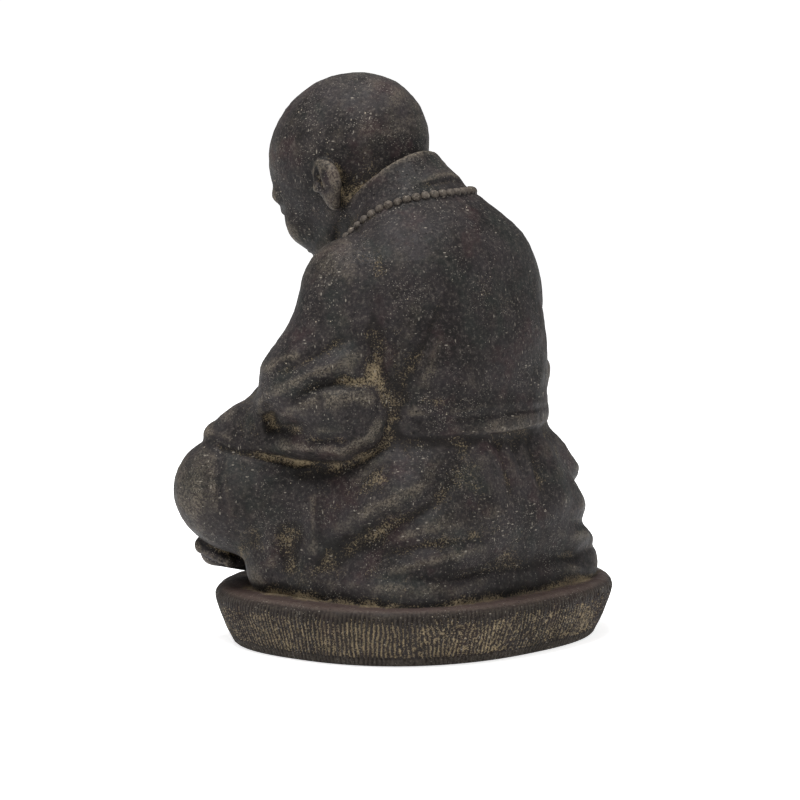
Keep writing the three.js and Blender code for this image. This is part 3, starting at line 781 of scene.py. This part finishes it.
class Tree:
    """Short hands for building a node tree."""

    def __init__(self, tree):
        self.tree = tree

    def node(self, kind, **settings):
        made = self.tree.nodes.new(kind)
        inputs = settings.pop("inputs", {})
        for key, value in settings.items():
            setattr(made, key, value)
        for key, value in inputs.items():
            socket = made.inputs[key]
            if isinstance(value, bpy.types.NodeSocket):
                self.tree.links.new(value, socket)
            else:
                socket.default_value = value
        return made

    def math(self, operation, a, b=None, c=None):
        values = {i: v for i, v in enumerate((a, b, c)) if v is not None}
        return self.node("ShaderNodeMath", operation=operation, inputs=values).outputs[0]

    def span(self, value, low, high, to_low=0.0, to_high=1.0, smooth=True):
        kind = "SMOOTHSTEP" if smooth else "LINEAR"
        made = self.node("ShaderNodeMapRange", interpolation_type=kind)
        for i, item in enumerate((value, low, high, to_low, to_high)):
            if isinstance(item, bpy.types.NodeSocket):
                self.tree.links.new(item, made.inputs[i])
            else:
                made.inputs[i].default_value = item
        return made.outputs[0]


def new_geometry_tree(name, sizes):
    tree = bpy.data.node_groups.new(name, "GeometryNodeTree")
    tree.interface.new_socket("Geometry", in_out="INPUT", socket_type="NodeSocketGeometry")
    tree.interface.new_socket("Geometry", in_out="OUTPUT", socket_type="NodeSocketGeometry")
    for label, kind, value in sizes:
        tree.interface.new_socket(label, in_out="INPUT", socket_type=kind).default_value = value
    t = Tree(tree)
    return t, t.node("NodeGroupInput").outputs


def close_tree(t, geometry, material):
    solid = t.node("GeometryNodeRealizeInstances", inputs={"Geometry": geometry}).outputs[0]
    done = t.node("GeometryNodeSetMaterial", inputs={"Geometry": solid, "Material": material}).outputs[0]
    t.node("NodeGroupOutput", inputs={"Geometry": done})


def attribute(t, name):
    return t.node("GeometryNodeInputNamedAttribute", data_type="FLOAT", inputs={"Name": name}).outputs[0]


def chisel_strokes(material):
    """Comb strokes cut down the pad's side, in comb-wide passes that lean and end unevenly."""
    t, size = new_geometry_tree("chisel_strokes", [
        ("Stroke Pitch", "NodeSocketFloat", STROKE_PITCH),
        ("Stroke Depth", "NodeSocketFloat", STROKE_DEPTH * MM),
        ("Comb Width", "NodeSocketFloat", COMB_WIDTH),
        ("Plain Rim", "NodeSocketFloat", PLAIN_RIM),
        ("Run", "NodeSocketFloat", 800.0),
        ("Seed", "NodeSocketFloat", 7.0),
    ])
    along, down = attribute(t, "round_the_pad"), attribute(t, "down_the_side")
    spot = t.node("GeometryNodeInputPosition").outputs[0]

    def noise(scale, detail, seed_step, vector=spot):
        seed = t.math("ADD", size["Seed"], seed_step)
        return t.node("ShaderNodeTexNoise", noise_dimensions="4D",
                      inputs={"Vector": vector, "W": seed, "Scale": scale, "Detail": detail}).outputs[0]

    comb = t.math("DIVIDE", along, size["Comb Width"])
    comb = t.math("ADD", comb, t.math("MULTIPLY", t.math("SUBTRACT", noise(14.0, 1.0, 1.0), 0.5), 1.2))
    comb_number = t.math("FLOOR", comb)
    lean = t.node("ShaderNodeTexWhiteNoise", noise_dimensions="1D",
                  inputs={"W": t.math("ADD", comb_number, size["Seed"])}).outputs[0]
    lean = t.math("MULTIPLY", t.math("SUBTRACT", lean, 0.38), 0.34)
    shifted = t.math("ADD", along, t.math("MULTIPLY", lean, down))
    wobble = t.math("MULTIPLY", t.math("SUBTRACT", noise(48.0, 3.0, 2.0), 0.5), 7.0)
    phase = t.math("DIVIDE", t.math("ADD", shifted, wobble), size["Stroke Pitch"])
    wave = t.math("PINGPONG", phase, 0.5)
    cut = t.span(wave, 0.0, 0.34)
    cut = t.math("SUBTRACT", 1.0, cut)
    end_noise = t.math("MULTIPLY", t.math("SUBTRACT", noise(60.0, 2.0, 3.0), 0.5), 9.0)
    full_depth = t.math("ADD", size["Plain Rim"], 3.0)
    started = t.span(t.math("ADD", down, end_noise), size["Plain Rim"], full_depth)
    foot = t.span(down, PAD_THICKNESS - 0.3, PAD_THICKNESS - 1.6)
    broken = noise(22.0, 1.0, 5.0)
    weight = t.math("MULTIPLY", t.span(noise(30.0, 2.0, 4.0), 0.3, 0.6, 0.5, 1.1),
                    t.span(broken, 0.66, 0.5, 0.45))
    depth = t.math("MULTIPLY", t.math("MULTIPLY", cut, started), t.math("MULTIPLY", foot, weight))
    pits = t.node("ShaderNodeTexVoronoi", voronoi_dimensions="3D", feature="F1",
                  inputs={"Vector": spot, "Scale": 210.0}).outputs[0]
    pit = t.math("MULTIPLY", t.span(pits, 0.42, 0.12), t.span(broken, 0.42, 0.62, 0.15, 1.1))
    pit = t.math("MULTIPLY", pit, t.math("MULTIPLY", started, foot))
    wear = t.math("MULTIPLY", t.math("SUBTRACT", noise(90.0, 3.0, 6.0), 0.5), t.math("MULTIPLY", foot, 0.9))
    inward = t.math("ADD", depth, t.math("ADD", pit, t.math("ADD", wear, 0.25)))
    inward = t.math("MULTIPLY", t.math("MAXIMUM", inward, 0.0), size["Stroke Depth"])
    normal = t.node("GeometryNodeInputNormal").outputs[0]
    offset = t.node("ShaderNodeVectorMath", operation="SCALE",
                    inputs={0: normal, "Scale": t.math("MULTIPLY", inward, -1.0)}).outputs[0]
    moved = t.node("GeometryNodeSetPosition",
                   inputs={"Geometry": size["Geometry"], "Offset": offset}).outputs[0]
    close_tree(t, moved, material)
    return t.tree


def bead_strand(material):
    """Beads set along a curve, a hair apart, each a little its own size."""
    t, size = new_geometry_tree("bead_strand", [
        ("Bead Radius", "NodeSocketFloat", BEAD_RADIUS * MM),
        ("Bead Pitch", "NodeSocketFloat", BEAD_PITCH * MM),
        ("Unevenness", "NodeSocketFloat", 0.07),
        ("Seed", "NodeSocketInt", 11),
    ])
    spots = t.node("GeometryNodeCurveToPoints", mode="LENGTH",
                   inputs={"Curve": size["Geometry"], "Length": size["Bead Pitch"]})
    bead = t.node("GeometryNodeMeshIcoSphere",
                  inputs={"Radius": size["Bead Radius"], "Subdivisions": 3}).outputs[0]
    low = t.math("SUBTRACT", 1.0, size["Unevenness"])
    high = t.math("ADD", 1.0, size["Unevenness"])
    scale = t.node("FunctionNodeRandomValue", data_type="FLOAT")
    for key, value in (("Min", low), ("Max", high), ("Seed", size["Seed"])):
        socket = [s for s in scale.inputs if s.name == key and s.enabled][0]
        t.tree.links.new(value, socket)
    made = t.node("GeometryNodeInstanceOnPoints", inputs={
        "Points": spots.outputs["Points"], "Instance": bead,
        "Rotation": spots.outputs["Rotation"], "Scale": scale.outputs[1]}).outputs[0]
    close_tree(t, made, material)
    return t.tree


def work_in(piece, tree, **sizes):
    """Runs a tree on the piece with some of its sizes set, and leaves plain mesh behind."""
    made = piece.modifiers.new(tree.name, "NODES")
    made.node_group = tree
    sockets = {s.name: s.identifier for s in tree.interface.items_tree if s.in_out == "INPUT"}
    for label, value in sizes.items():
        made[sockets[label.replace("_", " ")]] = value
    finish_mesh(piece)


STRAND_SHAPE = [(0, 40, 280), (24, 34, 279), (39, 23, 275), (48, 8, 266), (53, -10, 249), (51, -35, 230),
                (38, -56, 206), (18, -68, 184), (0, -72, 172)]


def strand_points():
    """The strand's path, set down onto the cloth in double numbers, so that every run ends alike."""
    half = np.array(STRAND_SHAPE, float)
    loop = np.concatenate([half, half[-2:0:-1] * [-1, 1, 1]])
    n = len(loop)
    path = []
    for i in range(n):
        a, b, c, d = (loop[(i + k) % n] for k in (-1, 0, 1, 2))
        for t in np.arange(0, 1, 0.125):
            path.append(0.5 * (2 * b + (c - a) * t + (2 * a - 5 * b + 4 * c - d) * t**2
                               + (3 * b - a - 3 * c + d) * t**3))
    path = np.array(path) * FIGURE_SCALE + [0, 0, PAD_THICKNESS]
    for _ in range(STRAND_SETTLES):
        off = np.clip(figure_at(path, float), -STRAND_DRAW_LIMIT, STRAND_DRAW_LIMIT)
        path = path - figure_slope(path, kind=float) * off[:, None] * STRAND_DRAW
    path = path + figure_slope(path, kind=float) * BEAD_RADIUS * BEAD_STANDS_OUT
    return path.astype(np.float32)


def make_beads(material):
    path = strand_points()
    curve = bpy.data.curves.new("bead_path", "CURVE")
    curve.dimensions = "3D"
    line = curve.splines.new("POLY")
    line.points.add(len(path) - 1)
    for point, (x, y, z) in zip(line.points, path * MM):
        point.co = (x, y, z, 1)
    line.use_cyclic_u = True
    holder = shown("bead_path", curve)
    tree = bead_strand(material)
    made = holder.modifiers.new(tree.name, "NODES")
    made.node_group = tree
    bpy.context.view_layer.update()
    mesh = bpy.data.meshes.new_from_object(holder.evaluated_get(bpy.context.evaluated_depsgraph_get()))
    bpy.data.objects.remove(holder)
    return shown("beads", mesh)


def join_solid(piece, other):
    """Joins another closed solid into the piece, as one casting."""
    cut = piece.modifiers.new("join", "BOOLEAN")
    cut.operation, cut.solver, cut.object = "UNION", "MANIFOLD", other
    finish_mesh(piece)
    bpy.data.objects.remove(other)


# ---- Where dirt and deposits gather, and where painted shade and painted highlights go ----

def smoothed(points, edges, rounds):
    """The points after being drawn towards their neighbours' middle a number of times."""
    n = len(points)
    degree = np.bincount(edges.ravel(), minlength=n).astype(float)
    degree[degree == 0] = 1
    p = points.astype(float)
    for _ in range(rounds):
        total = np.empty_like(p)
        for axis in range(p.shape[1]):
            total[:, axis] = (np.bincount(edges[:, 0], p[edges[:, 1], axis], n)
                              + np.bincount(edges[:, 1], p[edges[:, 0], axis], n))
        p = p + 0.6 * (total / degree[:, None] - p)
    return p


def store(mesh, name, values):
    mesh.attributes.new(name, "FLOAT", "POINT").data.foreach_set("value", np.asarray(values, np.float32))


HOLLOWS = (("fine_hollow", 6, 0.9), ("broad_hollow", 60, 4.0))
SHELTERS = ((4.0, 0.35), (9.0, 0.35), (20.0, 0.3))


def mark_surface(mesh):
    """Stores how hollow and sheltered the surface is, and which of it is beads, pad side or pad top."""
    points = positions(mesh)
    edges = np.empty(len(mesh.edges) * 2, np.int32)
    mesh.edges.foreach_get("vertices", edges)
    edges = edges.reshape(-1, 2)
    normals = np.empty(len(points) * 3, np.float32)
    mesh.vertices.foreach_get("normal", normals)
    normals = normals.reshape(-1, 3)
    strand = strand_points()
    beaded = (figure_at(points) > 0.7) & (points[:, 2] > PAD_THICKNESS + 120)
    near_strand = np.zeros(len(points), bool)
    picked = np.flatnonzero(beaded)
    for start in range(0, len(picked), 4096):
        some = picked[start:start + 4096]
        gap = np.linalg.norm(points[some, None, :] - strand[None], axis=2).min(1)
        near_strand[some] = gap < BEAD_RADIUS * 2
    store(mesh, "bead", near_strand)
    for name, rounds, span in HOLLOWS:
        hollow = ((smoothed(points, edges, rounds) - points) * normals).sum(1, keepdims=True) / span
        store(mesh, name, np.clip(smoothed(hollow, edges, 2)[:, 0], -1, 1))
    shelter = np.zeros(len(points))
    for reach, weight in SHELTERS:
        out = points + normals * reach
        gap = np.minimum(figure_at(out), pad_gap(out))
        shelter += weight * (1 - np.clip(gap / reach, 0, 1))
    store(mesh, "shelter", shelter)
    on_pad = (figure_at(points) > 0.35) & (points[:, 2] < PAD_THICKNESS + 1)
    store(mesh, "pad_side", on_pad * ramp(PAD_THICKNESS - 1, PAD_THICKNESS - 5, points[:, 2]))
    store(mesh, "pad_top", on_pad * ramp(PAD_THICKNESS - 5, PAD_THICKNESS - 1, points[:, 2]))


def pad_gap(points):
    x, y, z = points.T
    share = np.clip(z / PAD_THICKNESS, 0, 1)
    inset = PAD_FOOT_INSET * (1 - share) ** PAD_DRAW_IN
    half_width, half_depth = PAD_HALF_WIDTH - inset, PAD_HALF_DEPTH - inset
    reach = (np.abs(x / half_width) ** PAD_CORNER + np.abs(y / half_depth) ** PAD_CORNER) ** (1 / PAD_CORNER)
    return np.maximum((reach - 1) * half_depth, z - PAD_THICKNESS)


# ---- The skin of weathered fibre cement ----

def new_shader_group(name, sizes, results):
    tree = bpy.data.node_groups.new(name, "ShaderNodeTree")
    for label, kind, value in sizes:
        socket = tree.interface.new_socket(label, in_out="INPUT", socket_type=kind)
        if value is not None:
            socket.default_value = value
    for label, kind in results:
        tree.interface.new_socket(label, in_out="OUTPUT", socket_type=kind)
    t = Tree(tree)
    return t, t.node("NodeGroupInput").outputs


FLOAT, VECTOR = "NodeSocketFloat", "NodeSocketVector"


def noise_at(t, vector, scale, detail=2.0, rough=0.5, w=0.0):
    return t.node("ShaderNodeTexNoise", noise_dimensions="4D", inputs={
        "Vector": vector, "W": w, "Scale": scale, "Detail": detail, "Roughness": rough}).outputs[0]


def mix_color(t, share, a, b):
    made = t.node("ShaderNodeMix", data_type="RGBA")
    for i, item in ((0, share), (6, a), (7, b)):
        if isinstance(item, bpy.types.NodeSocket):
            t.tree.links.new(item, made.inputs[i])
        else:
            made.inputs[i].default_value = item
    return made.outputs[2]


def srgb(r, g, b):
    def line(c):
        c /= 255
        return c / 12.92 if c <= 0.04045 else ((c + 0.055) / 1.055) ** 2.4
    return (line(r), line(g), line(b), 1.0)


def speck_group():
    """Scattered pale specks, denser in drifts."""
    t, size = new_shader_group("pale_specks", [
        ("Vector", VECTOR, None), ("Scale", FLOAT, 320.0), ("Spread", FLOAT, 0.5), ("Amount", FLOAT, 0.5)],
        [("Mask", FLOAT)])
    cells = t.node("ShaderNodeTexVoronoi", feature="F1",
                   inputs={"Vector": size["Vector"], "Scale": size["Scale"]})
    chance = t.node("ShaderNodeSeparateColor", inputs={0: cells.outputs["Color"]}).outputs
    drift = noise_at(t, size["Vector"], 24.0, 4.0, 0.65)
    limit = t.math("MULTIPLY", t.span(drift, 0.46, 0.64, 0.05, 1.0), size["Amount"])
    lucky = t.math("LESS_THAN", chance[0], limit)
    radius = t.math("MULTIPLY", size["Spread"], t.span(chance[1], 0.0, 1.0, 0.35, 1.0, smooth=False))
    dot = t.span(cells.outputs["Distance"], radius, t.math("MULTIPLY", radius, 0.5))
    t.node("NodeGroupOutput", inputs={"Mask": t.math("MULTIPLY", dot, lucky)})
    return t.tree


def place_group(t, tree, **values):
    made = t.node("ShaderNodeGroup", node_tree=tree)
    for label, value in values.items():
        socket = made.inputs[label]
        if isinstance(value, bpy.types.NodeSocket):
            t.tree.links.new(value, socket)
        else:
            socket.default_value = value
    return made.outputs


def cement_skin():
    material = bpy.data.materials.new("weathered_fibre_cement")
    material.use_nodes = True
    t = Tree(material.node_tree)
    shader = material.node_tree.nodes["Principled BSDF"]
    where = t.node("ShaderNodeTexCoord").outputs["Object"]

    def mark(name):
        return t.node("ShaderNodeAttribute", attribute_name=name).outputs["Fac"]

    def lay(tone, mask, strength, color):
        return mix_color(t, t.math("MULTIPLY", mask, strength), tone, color)

    fine, broad, shelter = mark("fine_hollow"), mark("broad_hollow"), mark("shelter")
    side, top = mark("pad_side"), mark("pad_top")

    # The cement itself: brown-black, clouded with grey-green and a purplish brown.
    cloud = noise_at(t, where, 22.0, 4.0, 0.6, 1.0)
    cloud_two = noise_at(t, where, 30.0, 4.0, 0.6, 5.0)
    cloud_three = noise_at(t, where, 85.0, 5.0, 0.68, 9.0)
    mottle = noise_at(t, where, 420.0, 4.0, 0.75, 12.0)
    tone = mix_color(t, t.span(cloud, 0.36, 0.64), srgb(20, 17, 17), srgb(40, 36, 37))
    tone = lay(tone, t.span(cloud_two, 0.5, 0.66), 0.55, srgb(32, 36, 33))
    tone = lay(tone, t.span(cloud_two, 0.47, 0.34), 0.6, srgb(45, 31, 32))
    tone = lay(tone, t.span(cloud_three, 0.5, 0.68), 0.5, srgb(56, 51, 49))
    tone = lay(tone, t.span(cloud_three, 0.48, 0.3), 0.6, srgb(14, 12, 12))
    tone = lay(tone, t.span(mottle, 0.5, 0.68), 0.62, srgb(82, 76, 71))
    tone = lay(tone, t.span(mottle, 0.48, 0.34), 0.65, srgb(9, 8, 8))

    # Painted highlight: ridges painted paler, broken up by grain; painted shade: broad hollows and sheltered
    # creases painted darker.
    # Grain that breaks up the painted highlight on the ridges.
    highlight_grain = noise_at(t, where, 620.0, 3.0, 0.8, 14.0)
    ridge_highlight = t.math("MULTIPLY", t.span(fine, -0.25, -0.9), t.span(highlight_grain, 0.44, 0.57, 0.08, 0.6))
    tone = mix_color(t, ridge_highlight, tone, srgb(112, 103, 90))
    # Painted shade: broad hollows and creases sheltered under and between parts painted near black.
    tone = lay(tone, t.span(broad, 0.02, 0.24), 0.72, srgb(15, 12, 11))
    tone = lay(tone, t.span(shelter, 0.35, 0.85), 0.75, srgb(11, 9, 9))

    # The beads are painted pale as a painted highlight, with painted shade in the gaps between them.
    bead = mark("bead")
    bead_highlight = t.math("MULTIPLY", bead, t.span(mottle, 0.35, 0.6, 0.1, 0.7))
    tone = mix_color(t, bead_highlight, tone, srgb(92, 84, 76))
    # Painted shade in the hollows between the beads.
    tone = mix_color(t, t.math("MULTIPLY", bead, t.span(fine, -0.3, 0.3, 0.0, 0.7)), tone, srgb(14, 11, 10))

    # The pad: a reddish plain top and rim, and a brown side.
    tone = lay(tone, top, 0.65, srgb(66, 52, 48))
    tone = lay(tone, side, 0.6, srgb(27, 21, 18))

    # Sand lodged in hollows and in patches, broken up by grain.
    grit = noise_at(t, where, 760.0, 3.0, 0.8, 2.0)
    patch = noise_at(t, where, 27.0, 4.0, 0.65, 3.0)
    hollow = t.math("ADD", t.math("MULTIPLY", fine, 0.7), t.math("MULTIPLY", broad, 0.1))
    hollow = t.math("ADD", hollow, t.math("MULTIPLY", shelter, 0.7))
    gather = t.math("ADD", hollow, t.math("MULTIPLY", t.math("SUBTRACT", patch, 0.5), 3.6))
    gather = t.math("ADD", gather, t.math("MULTIPLY", t.math("SUBTRACT", grit, 0.5), 5.0))
    sand = t.math("MULTIPLY", t.span(gather, 0.6, 1.5), t.math("SUBTRACT", 1.0, side))
    in_strokes = t.math("MULTIPLY", t.math("SUBTRACT", grit, 0.5), 6.0)
    in_strokes = t.math("ADD", t.math("MULTIPLY", fine, 1.7), in_strokes)
    in_strokes = t.math("ADD", in_strokes, t.math("MULTIPLY", t.math("SUBTRACT", patch, 0.48), 1.6))
    sand_side = t.math("MULTIPLY", t.span(in_strokes, 0.0, 0.65), side)
    sand_tone = mix_color(t, t.span(cloud_three, 0.35, 0.65), srgb(158, 141, 111), srgb(118, 105, 86))
    tone = lay(tone, sand, 0.62, sand_tone)
    tone = lay(tone, sand_side, 0.9, sand_tone)

    # Pale specks of several sizes, and short scratches, over everything.
    specks = speck_group()
    small = place_group(t, specks, Vector=where, Scale=850.0, Spread=0.42, Amount=0.7)[0]
    large = place_group(t, specks, Vector=where, Scale=300.0, Spread=0.22, Amount=0.13)[0]
    scratches = []
    for stretch, shift in (((1.0, 1.0, 0.3), 0.21), ((0.35, 0.4, 1.0), 0.57)):
        drawn = t.node("ShaderNodeVectorMath", operation="MULTIPLY_ADD",
                       inputs={0: where, 1: stretch, 2: (shift, shift, shift)}).outputs[0]
        scratches.append(place_group(t, specks, Vector=drawn, Scale=560.0, Spread=0.36, Amount=0.22)[0])
    scratch = t.math("MAXIMUM", *scratches)
    tone = lay(tone, small, 0.6, srgb(138, 132, 122))
    tone = lay(tone, scratch, 0.6, srgb(142, 135, 124))
    tone = lay(tone, large, 0.75, srgb(172, 160, 142))
    dark_pits = place_group(t, specks, Vector=t.node("ShaderNodeVectorMath", operation="ADD", inputs={
        0: where, 1: (0.37, 0.11, 0.53)}).outputs[0], Scale=330.0, Spread=0.4, Amount=0.4)[0]
    tone = lay(tone, dark_pits, 0.65, srgb(12, 10, 10))

    t.tree.links.new(tone, shader.inputs["Base Color"])
    rough = t.span(cloud_three, 0.3, 0.7, 0.5, 0.72)
    rough = t.math("ADD", rough, t.math("MULTIPLY", t.math("ADD", sand, sand_side), 0.2))
    t.tree.links.new(rough, shader.inputs["Roughness"])
    shader.inputs["Specular IOR Level"].default_value = 0.14

    # Fine grain: cast grit, small pits and raised specks.
    height = t.math("MULTIPLY", noise_at(t, where, 700.0, 4.0, 0.65, 4.0), 0.6)
    height = t.math("ADD", height, t.math("MULTIPLY", noise_at(t, where, 170.0, 4.0, 0.6, 6.0), 1.3))
    height = t.math("ADD", height, t.math("MULTIPLY", t.math("ADD", small, large), 0.3))
    height = t.math("SUBTRACT", height, t.math("MULTIPLY", dark_pits, 0.8))
    sandy = t.math("ADD", sand, sand_side)
    height = t.math("ADD", height, t.math("MULTIPLY", sandy, t.math("MULTIPLY", grit, 0.8)))
    bump = t.node("ShaderNodeBump", inputs={"Strength": 0.7, "Distance": 0.0007, "Height": height}).outputs[0]
    t.tree.links.new(bump, shader.inputs["Normal"])
    return material


# ---- The statue ----

def make_statue():
    skin = cement_skin()
    statue = make_figure()
    statue.name = "monk_and_pad"
    pad, run = make_pad()
    work_in(pad, chisel_strokes(skin), Run=run)
    join_solid(statue, pad)
    join_solid(statue, make_beads(skin))
    mesh = statue.data
    mesh.name = "monk_and_pad"
    mark_surface(mesh)
    mesh.materials.clear()
    mesh.materials.append(skin)
    mesh.polygons.foreach_set("material_index", np.zeros(len(mesh.polygons), np.int32))
    mesh.polygons.foreach_set("use_smooth", np.ones(len(mesh.polygons), bool))
    mesh.update()
    return statue


statue = make_statue()
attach(statue, "root")
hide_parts("monk_statue")


# ---- The studio ----

FLOOR_REACH = 30
STATUE_MIDDLE = Vector((0, 0, 0.18))


def make_floor():
    mesh = bpy.data.meshes.new("studio_floor")
    r = FLOOR_REACH
    mesh.from_pydata([(-r, -r, 0), (r, -r, 0), (r, r, 0), (-r, r, 0)], [], [(0, 1, 2, 3)])
    floor = shown("studio_floor", mesh)
    paper = bpy.data.materials.new("pale_paper")
    paper.use_nodes = True
    shader = paper.node_tree.nodes["Principled BSDF"]
    shader.inputs["Base Color"].default_value = (0.94, 0.94, 0.94, 1)
    shader.inputs["Roughness"].default_value = 0.9
    shader.inputs["Emission Color"].default_value = (1, 1, 1, 1)
    shader.inputs["Emission Strength"].default_value = 0.68
    mesh.materials.append(paper)


def way_out(turn, rise):
    """The direction that leads away from the statue at a turn round it and a rise, in radians."""
    return Vector((math.sin(turn) * math.cos(rise), -math.cos(turn) * math.cos(rise), math.sin(rise)))


def make_light(name, azimuth, elevation, distance, size, power):
    """A square soft box that looks at the statue's middle from an azimuth and elevation in degrees."""
    data = bpy.data.lights.new(name, "AREA")
    data.shape, data.size, data.energy = "SQUARE", size, power
    light = shown(name, data)
    back = way_out(math.radians(azimuth), math.radians(elevation))
    light.location = STATUE_MIDDLE + back * distance
    light.rotation_euler = (-back).to_track_quat("-Z", "Y").to_euler()


CAMERA_TURN, CAMERA_RISE = math.radians(130), math.radians(7.5)
CAMERA_DISTANCE = 4.0
CAMERA_AIM = Vector((6.8, -8.1, 169.0)) * MM
CAMERA_SENSOR = 36.0
PICTURE_SIDE = 800
PIXEL_AT_AIM = 0.71 * MM


def make_camera():
    data = bpy.data.cameras.new("camera")
    data.sensor_width = CAMERA_SENSOR
    data.lens = CAMERA_DISTANCE / PIXEL_AT_AIM / PICTURE_SIDE * CAMERA_SENSOR
    data.clip_start, data.clip_end = 0.1, 50
    camera = shown("camera", data)
    back = way_out(CAMERA_TURN, CAMERA_RISE)
    camera.location = CAMERA_AIM + back * CAMERA_DISTANCE
    camera.rotation_euler = (-back).to_track_quat("-Z", "Y").to_euler()
    bpy.context.scene.camera = camera


make_floor()
make_light("overhead_box", 95, 76, 1.6, 0.8, 36)
make_light("left_box", 55, 30, 2.0, 0.9, 5)
make_light("right_box", 200, 25, 2.0, 0.9, 6)
make_camera()

world = bpy.data.worlds.new("studio")
world.use_nodes = True
world.node_tree.nodes["Background"].inputs["Color"].default_value = (1, 1, 1, 1)
world.node_tree.nodes["Background"].inputs["Strength"].default_value = 0.38
bpy.context.scene.world = world
bpy.context.scene.view_settings.view_transform = "Standard"
